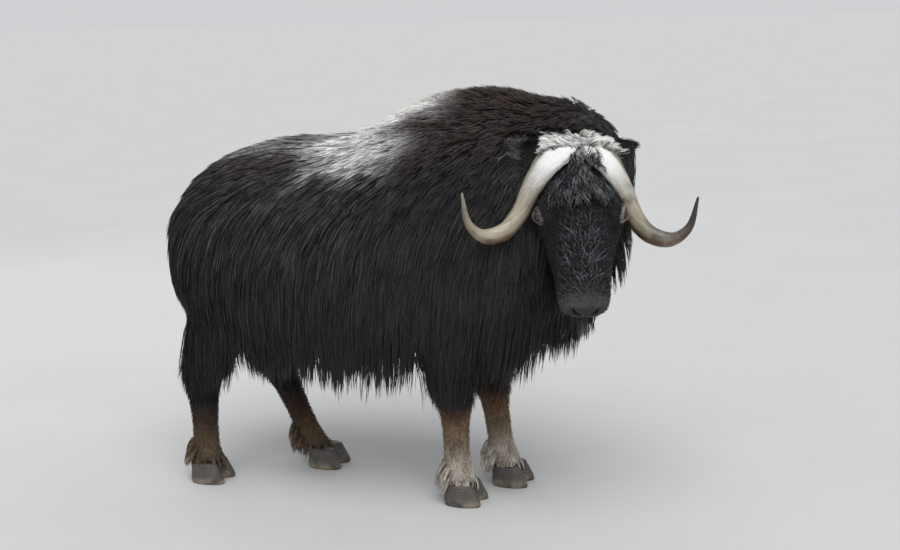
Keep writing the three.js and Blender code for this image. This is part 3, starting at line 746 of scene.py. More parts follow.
def head_share(head: Array) -> Array:
    """How far places in the head's own axes belong to the head, 0 to 1."""
    near = smooth(head[:, 0], -80, -40) * (1 - smooth(np.abs(head[:, 1]), 150, 180))
    return near * smooth(head[:, 2], -186, -168) * (1 - smooth(head[:, 2], 130, 170))


def ear_share(points: Array, normals: Array) -> tuple[Array, Array]:
    """How far places lie in the open cup or on the rim of an ear, and on an ear at all, 0 to 1.

    Args:
        points: the places.
        normals: the outward directions there.
    Returns:
        Both shares, one to a place.
    """
    cup, ear = np.zeros(len(points)), np.zeros(len(points))
    for side in Side:
        start, end = ear_ends(side)
        front = turned(HORN_PLACE, np.array(EARS[side][2]))
        along = ((points - start) @ (end - start)) / ((end - start) @ (end - start))
        off = points - start - along[:, None] * (end - start)
        on = band(along, 0.54, 1.12, 0.06) * (1 - smooth(np.linalg.norm(off, axis=1), 36, 44))
        on = on * smooth(off @ front, -22, -14)
        ear = np.maximum(ear, on)
        facing = normals @ front
        inside = band(facing, -0.2, 1.1, 0.2) * (0.45 + 0.55 * band(facing, -0.2, 0.6, 0.2))
        cup = np.maximum(cup, on * inside * smooth(off @ front, -9, -1))
    return cup, ear


class Surface:
    """A skin as one table of triangles, for finding places on it."""

    def __init__(self, piece: Object) -> None:
        """Reads the triangles, their outward directions and their places in the bake map."""
        mesh = piece.data
        mesh.calc_loop_triangles()
        self.points = table_of(mesh.vertices, "co", 3).astype(float) / MM - OFFSET
        self.normals = table_of(mesh.vertex_normals, "vector", 3).astype(float)
        self.tris = table_of(mesh.loop_triangles, "vertices", 3, np.int32)
        loops = table_of(mesh.loop_triangles, "loops", 3, np.int32)
        self.uv = table_of(mesh.uv_layers[BAKE_MAP].data, "uv", 2)[loops]
        self.tree = BVHTree.FromPolygons(self.points.tolist(), self.tris.tolist(), all_triangles=True)
        corners = self.points[self.tris]
        cross = np.cross(corners[:, 1] - corners[:, 0], corners[:, 2] - corners[:, 0])
        self.areas = np.linalg.norm(cross, axis=1) / 2

    def nearest(self, points: Array) -> Arrays3:
        """The skin's nearest place, outward direction and triangle, for each point."""
        found = [self.tree.find_nearest(row) for row in points.tolist()]
        at = np.array([tuple(f[0]) for f in found])
        tri = np.array([f[2] for f in found])
        return at, unit(self.normals[self.tris[tri]].mean(1)), tri

    def share_of(self, at: Array, tri: Array) -> Array:
        """Where a place lies between its triangle's corners, as three shares."""
        a, b, c = np.moveaxis(self.points[self.tris[tri]], 1, 0)
        v, w, p = b - a, c - a, at - a
        vv, vw, ww = (v * v).sum(1), (v * w).sum(1), (w * w).sum(1)
        pv, pw = (p * v).sum(1), (p * w).sum(1)
        under = np.maximum(vv * ww - vw * vw, 1e-9)
        second = np.clip((ww * pv - vw * pw) / under, 0, 1)
        third = np.clip((vv * pw - vw * pv) / under, 0, 1)
        return np.stack([np.clip(1 - second - third, 0, 1), second, third], 1)

    def bake_place(self, at: Array, tri: Array) -> Array:
        """The place in the bake map of places on the skin."""
        return (self.uv[tri] * self.share_of(at, tri)[:, :, None]).sum(1)

    def scatter(self, spacing: float, key: int, keep: Array | None = None) -> tuple:
        """Places spread evenly over the skin.

        Args:
            spacing: about how far apart, in mm.
            key: seeds the spread.
            keep: which triangles may carry any, or None for all.
        Returns:
            The places, outward directions and triangles.
        """
        dice = np.random.default_rng(key)
        areas = self.areas if keep is None else self.areas * keep
        count = int(areas.sum() / spacing**2 * 6) + 1
        tri = dice.choice(len(areas), count, p=areas / areas.sum())
        share = dice.dirichlet((1, 1, 1), count)
        at = (self.points[self.tris[tri]] * share[:, :, None]).sum(1)
        cell = np.floor(at / (spacing * 1.18) + dice.uniform(0, 1, 3)).astype(int)
        first = dice.permutation(np.unique(cell, axis=0, return_index=True)[1])
        at, tri, share = at[first], tri[first], share[first]
        normals = unit((self.normals[self.tris[tri]] * share[:, :, None]).sum(1))
        return at, normals, tri


def eye_at(side: Side) -> Array:
    """The centre of one eye, in the head's axes."""
    return np.array((EYE_AT.x, EYE_AT.y * side.value, EYE_AT.z))


def gaze_of(side: Side) -> Array:
    """Where one eye looks, in the head's axes."""
    return unit(np.array((GAZE[0], side.value, GAZE[1])))


def lid_place(head: Array, side: Side) -> Arrays3:
    """Places in the head's axes, as seen along one eye's gaze.

    Args:
        head: the places.
        side: which eye.
    Returns:
        How far forward and upward of the eye's centre, and how far out along the gaze.
    """
    gaze = gaze_of(side)
    fore = unit(np.array((1.0, 0, 0)) - gaze * gaze[0])
    rise = np.cross(gaze, fore) * side.value
    rows = head - eye_at(side)
    return rows @ fore, rows @ rise, rows @ gaze


@dataclass
class Skin:
    """The animal's skin in one piece, from the shaped forms of trunk, neck, head, tail, ears and legs."""

    voxel: float = 10.6
    depth_on_legs: float = 5.0
    lid_open: Pair = (19.5, 13.5)
    lid_rim: float = 5.0
    mouth: Triple = (325, 512, -99)
    nostril: Pair = (27, -54)
    ear_wall: float = 6.0
    ear_sizes: tuple[Pair, ...] = ((19, 20), (26, 23), (32, 21), (29, 16), (19, 10), (6, 3))
    fine_zones: tuple[tuple[float, float, Pair, float], ...] = (
        (90, 175, (-190, 120), 0), (335, 110, (-180, 40), 70), (462, 70, (-110, -10), 36),
    )
    torso: tuple[Row, ...] = (
        (-1014, 900, 690, 110), (-980, 972, 610, 205), (-900, 1052, 530, 270), (-770, 1108, 490, 298),
        (-630, 1138, 470, 315), (-490, 1146, 462, 320), (-350, 1166, 462, 320), (-220, 1218, 465, 316),
        (-90, 1268, 472, 308), (40, 1284, 485, 292), (150, 1268, 515, 266), (250, 1225, 570, 226),
        (330, 1160, 640, 172), (372, 1090, 720, 110),
    )
    neck: Form = Form(
        [
            (150, 10, 900, 235, 330, 290), (240, 0, 935, 222, 322, 285), (310, -30, 970, 200, 257, 275),
            (350, -60, 995, 172, 197, 245), (372, -90, 1005, 134, 130, 180),
        ],
        axis=(0.82, -0.57, 0), power=(2.6, 2.2), caps=(40, 20),
    )
    tail: Form = Form(
        [
            (-940, 0, 945, 30, 26, 26), (-1002, 0, 925, 30, 26, 26), (-1034, 0, 870, 28, 22, 22),
            (-1044, 0, 810, 20, 15, 15), (-1044, 0, 780, 9, 8, 8),
        ],
        up=(1, 0, 0), caps=(10, 8),
    )
    skull: Form = Form(
        [
            (-66, 0, -14, 76, 62, 72), (-30, 0, -14, 106, 84, 104), (30, 0, -16, 122, 98, 124),
            (100, 0, -24, 126, 98, 130), (170, 0, -32, 125, 94, 126), (225, 0, -40, 117, 90, 116),
            (290, 0, -50, 100, 77, 96), (360, 0, -57, 82, 66, 76), (420, 0, -62, 77, 58, 60),
            (465, 0, -66, 71, 47, 44), (494, 0, -69, 52, 30, 26),
        ],
        axis=(1, 0, 0), power=(2.25, 2.2), caps=(16, 12),
    )
    jaw: Form = Form(
        [
            (110, 0, -112, 70, 50, 50), (180, 0, -124, 76, 52, 56), (260, 0, -128, 62, 46, 42),
            (340, 0, -124, 52, 36, 30), (400, 0, -117, 47, 30, 24), (442, 0, -110, 38, 22, 20),
            (462, 0, -106, 22, 12, 10),
        ],
        axis=(1, 0, 0), caps=(20, 8),
    )

    def trunk_form(self) -> Form:
        """The trunk's form, from its rows of place, top, bottom and half width."""
        rows = []
        for x, top, low, half in self.torso:
            reach = (top - low) / 2
            rows.append((x, 0, low + reach, half, reach, reach))
        return Form(rows, axis=(1, 0, 0), power=(2.05, 2.5), caps=(22, 18))

    def build(self) -> Object:
        """Builds the whole skin, with its features, unwrap and markings."""
        bm = bmesh.new()
        self.trunk_form().build(bm, 40, 40)
        self.neck.build(bm, 32, 12)
        self.tail.build(bm, 20, 16)
        for leg in LEGS:
            leg.form().build(bm, 28, 26, self.depth_on_legs)
        headed = self.skull.build(bm, 36, 30) + self.jaw.build(bm, 28, 18)
        for side in Side:
            headed += self.brow(bm, side)
        bmesh.ops.transform(bm, matrix=HEAD_PLACE, verts=headed)
        rough = self.fused(piece_from(bm, "skin_forms"))
        bm = bmesh.new()
        bm.from_mesh(rough.data)
        bm.transform(Matrix.Translation(-SHIFT) @ Matrix.Scale(1 / MM, 4))
        for _ in range(5):
            relax(bm, bm.verts)
        for start, aside, above, by_eye in self.fine_zones:
            self.refine(bm, start, aside, above, by_eye)
        self.shape_features(bm)
        for side in Side:
            self.ear(bm, side)
        bpy.data.objects.remove(rough)
        skin = piece_from(bm, "skin")
        self.unwrap(skin)
        self.mark(skin)
        return skin

    @staticmethod
    def brow(bm: BMesh, side: Side) -> list:
        """Adds the swelling of bone round one eye, in the head's axes, and returns its vertices."""
        verts = bmesh.ops.create_uvsphere(bm, u_segments=20, v_segments=12, radius=1)["verts"]
        bmesh.ops.scale(bm, vec=(50, 28, 40), verts=verts)
        bmesh.ops.translate(bm, vec=(EYE_AT.x - 10, (EYE_AT.y - 20) * side.value, EYE_AT.z), verts=verts)
        return verts

    def fused(self, piece: Object) -> Object:
        """The forms of a piece, which is removed, run together into one closed surface."""
        remesh = piece.modifiers.new("fuse", "REMESH")
        remesh.mode = "VOXEL"
        remesh.voxel_size = self.voxel * MM
        graph = bpy.context.evaluated_depsgraph_get()
        fused = bpy.data.meshes.new_from_object(piece.evaluated_get(graph))
        bpy.data.objects.remove(piece)
        return new_piece("skin_fused", fused)

    @staticmethod
    def refine(bm: BMesh, start: float, aside: float, above: Pair, by_eye: float) -> None:
        """Splits the faces in one region of the head in four.

        Args:
            bm: the mesh.
            start: how far ahead the region begins.
            aside: how far it reaches to both sides.
            above: its lowest and highest places.
            by_eye: how far from an eye's centre faces are split too.
        """
        head = moved(HEAD_BACK, np.array([face.calc_center_median()[:] for face in bm.faces]))
        chosen = within(head, (start, FAR), aside, above)
        for side in Side:
            chosen |= np.linalg.norm(head - eye_at(side), axis=1) < by_eye
        edges = list(dict.fromkeys(e for face, inside in zip(bm.faces, chosen) if inside for e in face.edges))
        bmesh.ops.subdivide_edges(bm, edges=edges, cuts=1, use_grid_fill=True, smooth=0.0)
        relax(bm, list(dict.fromkeys(v for e in edges if e.is_valid for v in e.verts)))

    def shape_features(self, bm: BMesh) -> None:
        """Presses eye sockets, lids, nostrils, lips and folds into the head."""
        verts = list(bm.verts)
        head = moved(HEAD_BACK, np.array([v.co[:] for v in verts]))
        chosen = np.nonzero(within(head, (60, FAR), 175, (-200, 130)))[0]
        rows = self.with_muzzle(head[chosen])
        for side in Side:
            rows = self.with_lids(rows, side)
        for i, row in zip(chosen, moved(HEAD_PLACE, rows)):
            verts[i].co = row

    def with_lids(self, rows: Array, side: Side) -> Array:
        """Places of the head with one eye's socket, lids and folds.

        Args:
            rows: the places, in the head's axes.
            side: which eye.
        Returns:
            The moved places.
        """
        fore, rise, out = lid_place(rows, side)
        long, tall = self.lid_open
        far = np.hypot(fore, rise)
        ring = np.hypot(fore / long, (rise + 0.02 * fore) / tall)
        ball = np.sqrt(np.maximum((EYE_RADIUS + 1.2) ** 2 - far**2, 0))
        rim = np.sqrt(np.maximum((EYE_RADIUS + self.lid_rim) ** 2 - far**2, 9))
        lid = np.where(ring < 1.0, ball - 7, np.maximum(rim, 9.0))
        fold = -3.0 * bell(ring - 1.62, 0.13) + 2.4 * bell(ring - 1.9, 0.16)
        fold -= 2.2 * bell(ring - 2.2, 0.12) * (rise > -6)
        orbit = 6.5 * bell(ring - 2.6, 0.5) * smooth(rise, -8, 16)
        tear = -5.0 * bell(fore - long - 9, 9) * bell(rise + 3, 5)
        share = 1 - smooth(ring, 1.28, 2.05)
        near = (far < 75) & (out > -40)
        target = mix(out + fold + orbit + tear, lid + fold * 0.5, share)
        target = np.where(ring < 1.0, lid, target)
        return rows + gaze_of(side) * np.where(near, target - out, 0)[:, None]

    def with_muzzle(self, rows: Array) -> Array:
        """Places of the head with nostrils, nose pad, lips and the line of the mouth.

        Args:
            rows: the places, in the head's axes.
        Returns:
            The moved places.
        """
        ahead, aside, above = rows.T
        centre = rows.copy()
        centre[:, 1] *= 0.15
        centre[:, 2] = -78 + (above + 78) * 0.35
        centre[:, 0] = np.minimum(ahead, 400)
        out = unit(rows - centre)
        y, z = self.nostril
        push = np.zeros(len(rows))
        turn = math.radians(32)
        for side in Side:
            u = (aside - y * side.value) * side.value
            v = above - z
            along = u * math.cos(turn) + v * math.sin(turn)
            over = v * math.cos(turn) - u * math.sin(turn)
            comma = np.hypot(along / 12.5, (over - 0.018 * along**2) / 5.4)
            wing = 3.4 * bell(comma - 1.5, 0.38) - 15 * (1 - smooth(comma, 0.55, 1.15))
            push += smooth(ahead, 448, 466) * wing
        line = above - self.mouth_line(rows)
        lips = -9 * bell(line, 3.4) + 3.4 * bell(line - 9, 6) + 4.0 * bell(line + 9, 6)
        push += band(ahead, self.mouth[0], self.mouth[1] + 30, 8) * lips
        push += -2.6 * bell(aside, 2.2) * smooth(ahead, 470, 492) * band(above, -96, -48, 8)
        push += 3.0 * bell(ahead - 300, 26) * bell(above + 92, 40) * smooth(np.abs(aside), 30, 50)
        for k, place in enumerate((352, 366, 381)):
            wrinkle = bell(ahead - place - 0.12 * (above + 60), 3.6)
            push -= (1.6 - 0.2 * k) * wrinkle * band(above, -92, -38, 12) * smooth(np.abs(aside), 20, 40)
        return rows + out * push[:, None]

    def mouth_line(self, head: Array) -> Array:
        """How high the line between the lips lies, for places in the head's axes."""
        start, _, low = self.mouth
        drop = (head[:, 0] - start) * math.tan(math.radians(4))
        return low - drop + 5 * smooth(np.abs(head[:, 1]), 10, 60)

    def ear(self, bm: BMesh, side: Side) -> None:
        """Adds one cupped ear, rooted in the side of the head behind the horn."""
        root, tip, opens = (Vector(row) for row in EARS[side])
        along = (tip - root).normalized()
        front = (opens - along * opens.dot(along)).normalized()
        rise = along.cross(front).normalized()
        if rise.z < 0:
            rise.negate()
        sizes = [Vector((*row, 0)) for row in self.ear_sizes]
        arc, steps = 15, 14
        rings = []
        for step in range(steps):
            share = step / (steps - 1)
            half, depth, _ = spline(sizes, share)
            at = root.lerp(tip, share * 0.97) + front * (7 * share * share)
            opened = min(share / 0.15, 1)
            wall = depth * 0.85 * (1 - opened) + min(self.ear_wall, depth * 0.55) * opened
            ring = []
            for i, inset in [(i, 0) for i in range(arc)] + [(arc - 2 - i, wall) for i in range(arc - 2)]:
                angle = math.pi * i / (arc - 1)
                curl = 1 + 0.10 * math.cos(angle * 2)
                out = rise * math.cos(angle) * (half - inset * 0.4)
                ring.append(HORN_PLACE @ (at + out - front * math.sin(angle) * (depth - inset) * curl))
            rings.append(ring)
        ends = (HORN_PLACE @ (root - along * 14), HORN_PLACE @ (tip + front * 8))
        loft(bm, rings, ends)

    @staticmethod
    def unwrap(skin: Object) -> None:
        """Unwraps the skin by its own shape into the bake map."""
        while skin.data.uv_layers:
            skin.data.uv_layers.remove(skin.data.uv_layers[0])
        skin.data.uv_layers.new(name=BAKE_MAP)
        bpy.ops.object.select_all(action="DESELECT")
        skin.select_set(True)
        bpy.context.view_layer.objects.active = skin
        bpy.ops.object.mode_set(mode="EDIT")
        bpy.ops.mesh.select_all(action="SELECT")
        bpy.ops.uv.smart_project(angle_limit=math.radians(66), island_margin=0.002)
        bpy.ops.object.mode_set(mode="OBJECT")

    def mark(self, skin: Object) -> None:
        """Keeps the coat's markings and the bare places on the skin."""
        surface = Surface(skin)
        tones, legs = Markings().at(surface.points, surface.normals)
        head = moved(HEAD_BACK, surface.points)
        bare = self.bare_places(head)
        store(skin.data, "markings", tones * (1 - bare[:, :1]))
        store(skin.data, "legs", legs)
        store(skin.data, "strand", np.tile((0.42, 0.35, 0.0), (len(head), 1)))
        # The third column of the bare mask is painted shade in the eye openings, nostrils and mouth line.
        store(skin.data, "bare", bare)

    def bare_places(self, head: Array) -> Array:
        """Where the skin is bare: nose and lips, and lids, the right lid's share halved as painted shade; and
        the eye openings, nostrils and mouth line, painted near black as shade; one row to a place.
        """
        ahead, aside, above = head.T
        on_head = head_share(head)
        pad = smooth(ahead, 478, 492) * (1 - smooth(np.abs(aside), 40, 54)) * band(above, -92, -38, 6)
        line = above - self.mouth_line(head)
        lips = band(ahead, 345, 540, 10) * bell(line, 7)
        lids, inside = np.zeros(len(head)), np.zeros(len(head))
        for side in Side:
            fore, rise, out = lid_place(head, side)
            ring = np.hypot(fore / self.lid_open[0], rise / self.lid_open[1])
            near = (out > -20) & (ring < 4)
            # Painted light and shade: the left lid gets the full pale lid colour as the lit side, the right
            # lid half of it as the shaded side.
            pale = 1.0 if side is Side.LEFT else 0.5
            lids = np.maximum(lids, pale * near * (1 - smooth(ring, 1.35, 1.75)))
            # Painted shade: the skin inside the lid opening, darkened nearly to black.
            inside = np.maximum(inside, near * (1 - smooth(ring, 0.9, 1.0)))
            y, z = self.nostril
            hole = np.hypot((aside - y * side.value) / 11, (above - z) / 7)
            # Painted shade: the nostril holes darkened nearly to black.
            inside = np.maximum(inside, smooth(ahead, 455, 465) * (1 - smooth(hole, 0.5, 0.9)))
        # Painted shade: the line between the lips darkened nearly to black.
        inside = np.maximum(inside, 0.85 * band(ahead, 330, 540, 8) * bell(line, 2.6))
        return np.stack([np.maximum(pad, lips) * on_head, lids * on_head, inside * on_head], 1)


@dataclass
class Hair:
    """A set of single hairs, each a line of places with an outward direction at each.

    roots, normals and tris are each hair's place on the skin, the skin's direction there and its triangle.
    """

    lines: Array
    outs: Array
    widths: Array
    roots: Array
    normals: Array
    tris: Array
    tints: Array

    @staticmethod
    def of(parts: list["Hair"]) -> "Hair":
        """Several sets, with equal places to a hair, as one."""
        return Hair(*[np.concatenate([getattr(part, f.name) for part in parts]) for f in fields(Hair)])

    def some(self, keep: Array) -> "Hair":
        """The hairs that a mask keeps."""
        return Hair(*[getattr(self, f.name)[keep] for f in fields(Hair)])


@dataclass
class Guides:
    """The lines round which hairs gather into locks, with their roots and the skin's directions there."""

    at: Array
    normals: Array
    lines: Array
    outs: Array


@dataclass
class Coat:
    """The hair over the skin: guard hair in locks, and short hair on head, legs, ears and tail."""

    surface: Surface
    horns: BVHTree
    back_gap: float = 18.4
    guard_gap: float = 23.0
    guard_hairs: int = 8
    guard_places: int = 6
    guard_width: float = 3.7
    face_gap: float = 4.6
    leg_gap: float = 6.4
    fringe: float = 330.0
    sunk: float = 7.0
    face_start: float = 22.0
    leg_top: float = 452.0
    belly_top: float = 640.0
    coronet_top: float = 92.0
    back_zones: tuple[Zone, ...] = (("croup", -FAR, -380), ("hump", -380, FAR))
    guard_zones: tuple[Zone, ...] = (
        ("rump", -FAR, -730), ("loin", -730, -420), ("ribs", -420, -130), ("shoulder", -130, 130),
        ("neck", 130, FAR),
    )

    def __post_init__(self) -> None:
        """Finds what part of the body each triangle of the skin lies on."""
        middle = self.surface.points[self.surface.tris].mean(1)
        head = moved(HEAD_BACK, middle)
        normals = unit(self.surface.normals[self.surface.tris].mean(1))
        ear = np.zeros(len(middle), bool)
        for side in Side:
            low, high = (np.array(corner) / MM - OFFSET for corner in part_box(f"ear_{side.word}"))
            ear |= np.all((middle > low - 6) & (middle < high + 6), 1)
        on_head = head_share(head) > 0.5
        self.on_ear = ear
        self.on_face = on_head & (head[:, 0] > self.face_start) & ~ear
        self.on_nape = on_head & (head[:, 0] <= self.face_start) & ~ear
        self.on_leg = (middle[:, 2] < self.leg_top) & ~on_head
        low = (normals[:, 2] < -0.62) & (middle[:, 2] < self.belly_top)
        self.on_belly = low & ~self.on_leg & ~on_head
        self.on_body = ~(self.on_leg | self.on_face | ear | self.on_belly)

    def way(self, points: Array, normals: Array) -> Array:
        """The lie of the body's hair.

        Args:
            points: places on the skin.
            normals: the skin's outward directions.
        Returns:
            Directions along the skin.
        """
        x, y, z = points.T
        part = np.tanh(y / 70)
        slant = 0.22 + 0.5 * smooth(z, 720, 1120)
        over = columns(-1, 0.28 * part, -0.15)
        way = mix(columns(-slant, 0, -1), over, smooth(normals[:, 2], 0.22, 0.9))
        down = columns(0, 0.1 * part, -1)
        way = mix(way, down, smooth(-normals[:, 0], 0.35, 0.8) * (x < -600))
        way = mix(way, down, smooth(normals[:, 0], 0.25, 0.7) * smooth(x, 30, 160))
        nape = smooth(x, 170, 300) * smooth(normals[:, 2], 0.1, 0.7)
        way = mix(way, columns(-0.45, 0.75 * part, -0.7), 0.85 * nape)
        turn = 0.12 * ripple(points, 170, 21) + 0.08 * ripple(points, 48, 22)
        way = across(way, normals)
        return across(way + np.cross(normals, way) * turn[:, None], normals)

    def grown(self, at: Array, normals: Array, length: Array, lift: Array, heavy: Array,
              places: int) -> Guides:
        """Lines of hair that follow the lie over the skin and hang where it turns under.

        Args:
            at: the roots.
            normals: the outward directions there.
            length: each line's length.
            lift: how far its tip stands off the skin.
            heavy: how much it falls straight down, 0 to 1.
            places: points to a line.
        Returns:
            The lines.
        """
        here, out = at, normals
        lines, outs = [at - normals * self.sunk], [normals]
        for k in range(1, places):
            share = k / (places - 1)
            way = self.way(here, out)
            fall = np.clip(heavy * (0.35 + 0.65 * share), 0, 1)
            way = unit(mix(way, np.array((-0.06, 0.0, -1.0)), fall))
            here = here + way * (length / (places - 1))[:, None]
            near, face, _ = self.surface.nearest(here)
            off = np.sum((here - near) * face, 1)
            depth = lift * (0.3 + 0.7 * share)
            here = here + face * np.maximum(depth - off, 0)[:, None]
            free = off > depth + 26
            sink_back = np.where(free, 0, np.clip(off - depth, 0, 12) * 0.6)
            here = here - face * sink_back[:, None]
            here[:, 2] = np.maximum(here[:, 2], 6)
            lines.append(here)
            outs.append(across(face, way))
            out = np.where(free[:, None], out, face)
        return Guides(at, normals, np.stack(lines, 1), np.stack(outs, 1))

    def locks(self, guides: Guides, hairs: int, spread: float, width: float, wave: Array | float,
              clump: float, key: int) -> Hair:
        """Hairs that gather round guide lines into locks.

        Args:
            guides: the lines.
            hairs: how many hairs to a lock.
            spread: how far from the guide their roots lie.
            width: a hair's width.
            wave: how far it waves from its line.
            clump: how far the hairs have come together at the tip, 0 to 1.
            key: seeds the spread.
        Returns:
            The hairs.
        """
        dice = np.random.default_rng(key)
        count, places = guides.lines.shape[:2]
        each = np.repeat(np.arange(count), hairs)
        total = len(each)
        first = across(np.array((0.31, 0.21, 1.01)), guides.normals)
        second = np.cross(guides.normals, first)
        angle, reach = dice.uniform(0, math.tau, total), spread * np.sqrt(dice.uniform(0, 1, total))
        offset = first[each] * (np.cos(angle) * reach)[:, None]
        offset += second[each] * (np.sin(angle) * reach)[:, None]
        roots, face, tri = self.surface.nearest(guides.at[each] + offset)
        share = np.linspace(0, 1, places)
        pull = 1 - clump * share**0.8 * dice.uniform(0.7, 1.15, total)[:, None]
        line = guides.lines[each] + offset[:, None, :] * pull[:, :, None]
        line[:, 0] = roots - face * 6
        cut = dice.uniform(0.72, 1.12, total)
        place = np.clip(share[None, :] * cut[:, None] * (places - 1), 0, places - 1.001)
        low = np.floor(place).astype(int)
        rest = (place - low)[:, :, None]
        rows = np.arange(total)[:, None]
        line = line[rows, low] * (1 - rest) + line[rows, low + 1] * rest
        outs = guides.outs[each]
        side = np.cross(unit(np.gradient(line, axis=1)), outs)
        phase = dice.uniform(0, math.tau, (total, 2, 1))
        turns = dice.uniform(0.6, 1.3, (total, 1))
        amount = np.broadcast_to(wave, count)[each, None] * share * (0.4 + 0.6 * share)
        line = line + side * (amount * np.sin(phase[:, 0] + math.tau * turns * share))[:, :, None]
        lifted = amount * (0.55 + 0.6 * np.sin(phase[:, 1] + math.tau * turns * share))
        line = line + outs * lifted[:, :, None]
        widths = width * dice.uniform(0.7, 1.3, total)
        tints = np.clip(dice.normal(0.5, 0.24, total) + np.repeat(dice.normal(0, 0.06, count), hairs), 0, 1)
        return Hair(line, outs, widths, roots, face, tri, tints)

    def clear_of_ears(self, hair: Hair) -> Hair:
        """The hairs that don't cross an ear."""
        keep = np.ones(len(hair.lines), bool)
        for side in Side:
            start, end = ear_ends(side)
            way = end - start
            share = np.clip(((hair.lines - start) @ way) / (way @ way), 0.12, 1.05)
            off = np.linalg.norm(hair.lines - start - share[:, :, None] * way, axis=2)
            keep &= off.min(1) > 33
        return hair.some(keep)

    def clear_of_crown(self, hair: Hair) -> Hair:
        """The hairs that don't fall over the white crown or the forelock."""
        head = moved(HEAD_BACK, hair.lines)
        return hair.some(~within(head, (-34, FAR), 106, (12, FAR)).any(1))

    def raised(self, at: Array, normals: Array) -> Array:
        """Places on the skin moved out to the surface of a horn where one covers them."""
        out = at.copy()
        for k, (place, way) in enumerate(zip(at, normals)):
            hit = self.horns.ray_cast(Vector(place + way * 80), Vector(-way), 80)[0]
            if hit is not None:
                out[k] = hit
        return out

    def upper(self, points: Array) -> Array:
        """How far places belong to the short, dense hair of back and hump, 0 to 1."""
        high = smooth(points[:, 2] + 30 * ripple(points, 110, 29), 930, 1030)
        return high * (points[:, 0] < 300 + 130 * smooth(points[:, 2], 1040, 1100))

    def back(self) -> Hair:
        """The short woolly hair over hump, saddle and croup."""
        at, normals, _ = self.surface.scatter(self.back_gap, 27, self.on_body)
        keep = self.upper(at) > 0.35
        at, normals = at[keep], normals[keep]
        x, _, z = at.T
        hump = band(x, -260, 330, 90) * smooth(z, 960, 1120)
        length = 88 - 22 * smooth(z, 1030, 1120) + 10 * ripple(at, 90, 28)
        length = mix(length, 62, 0.8 * hump)
        lift = 9 + 4 * ripple(at, 50, 26) + 11 * hump - 4 * smooth(-x, 780, 960)
        heavy = 0.1 + 0.25 * (1 - smooth(z, 930, 1080))
        guides = self.grown(at, normals, length, lift, heavy, 5)
        hair = self.locks(guides, 8, 15, 3.0, 1.6 + 4.6 * hump, 0.35, 25)
        return self.clear_of_crown(self.clear_of_ears(hair))

    def guard(self) -> Hair:
        """The long guard hair of flanks, neck and nape."""
        at, normals, _ = self.surface.scatter(self.guard_gap, 31, self.on_body)
        keep = self.upper(at) < 0.65
        at, normals = at[keep], normals[keep]
        x, _, z = at.T
        length = 190 + 70 * (1 - smooth(z, 650, 900)) + 26 * ripple(at, 120, 33)
        length = mix(length, 110, 0.8 * smooth(z, 880, 1020))
        lowest = self.fringe + 22 * ripple(at, 130, 34) + 14 * ripple(at, 38, 35) + 165 * smooth(x, 90, 350)
        room = np.maximum(z - lowest, 60) * 1.08
        length = np.minimum(length, np.where(z < 900, room, 400))
        length *= np.random.default_rng(36).uniform(0.85, 1.12, len(at))
        nape = smooth(x, 200, 290) * smooth(z, 1060, 1150)
        length = mix(length, 74, nape)
        lift = 18 + 6 * ripple(at, 60, 37) - 6 * smooth(z, 600, 900) - 6 * smooth(-x, 820, 980) - 8 * nape
        heavy = 0.75 * (1 - smooth(z, 640, 1010)) + 0.25 * smooth(x, 150, 300) * (1 - smooth(z, 1000, 1150))
        guides = self.grown(at, normals, length, lift, heavy, self.guard_places)
        hair = self.locks(guides, self.guard_hairs, 22, self.guard_width, 3.0, 0.36, 41)
        return self.clear_of_crown(self.clear_of_ears(hair))

    def belly(self) -> Hair:
        """The thin hair under the belly."""
        at, normals, _ = self.surface.scatter(42, 51, self.on_belly)
        length = np.clip(at[:, 2] - self.fringe + 10, 50, 120)
        guides = self.grown(at, normals, length, np.full(len(at), 12.0), np.full(len(at), 0.85), 5)
        return self.locks(guides, 6, 18, 4.2, 3.0, 0.6, 52)

    def short(self, keep: Array, gap: float, key: int, way: Array | None, length: object, width: float,
              rise: float, wave: float = 0.0, places: int = 3, where: object = None) -> Hair:
        """Short hairs that stand by themselves close to the skin.

        Args:
            keep: which triangles carry them.
            gap: how far apart they stand.
            key: seeds them.
            way: makes their directions from places and outward directions.
            length: makes their lengths from places, or is one length.
            width: their width.
            rise: how steeply they stand, 0 to 1.
            wave: how far they curl from a straight line.
            places: points to a hair.
            where: tells which places may carry one, or None for all.
        Returns:
            The hairs.
        """
        at, normals, tri = self.surface.scatter(gap, key, keep)
        if where is not None:
            inside = where(at)
            at, normals, tri = at[inside], normals[inside], tri[inside]
        dice = np.random.default_rng(key + 1)
        count = len(at)
        lie = across((way or self.way)(at, normals), normals)
        lie = across(lie + np.cross(normals, lie) * dice.normal(0, 0.28, count)[:, None], normals)
        reach = (length(at) if callable(length) else length) * dice.uniform(0.7, 1.3, count)
        steep = np.clip(rise * dice.uniform(0.6, 1.4, count), 0, 0.95)
        line = [at - normals * 2.5]
        share = np.linspace(0, 1, places)
        phase = dice.uniform(0, math.tau, (2, count))
        side = np.cross(normals, lie)
        for s in share[1:]:
            flat = reach * s * (1 - 0.25 * steep)
            up = reach * steep * s * (1.25 - 0.55 * s)
            curl = wave * s * np.sin(phase[0] + 8.5 * s)
            lifted = wave * s * 0.7 * (1 + np.cos(phase[1] + 8.5 * s))
            line.append(at + lie * flat[:, None] + normals * (up + lifted)[:, None] + side * curl[:, None])
        outs = np.repeat(normals[:, None, :], places, 1)
        widths = width * dice.uniform(0.7, 1.3, count)
        tints = np.clip(dice.normal(0.5, 0.24, count), 0, 1)
        return Hair(np.stack(line, 1), outs, widths, at, normals, tri, tints)

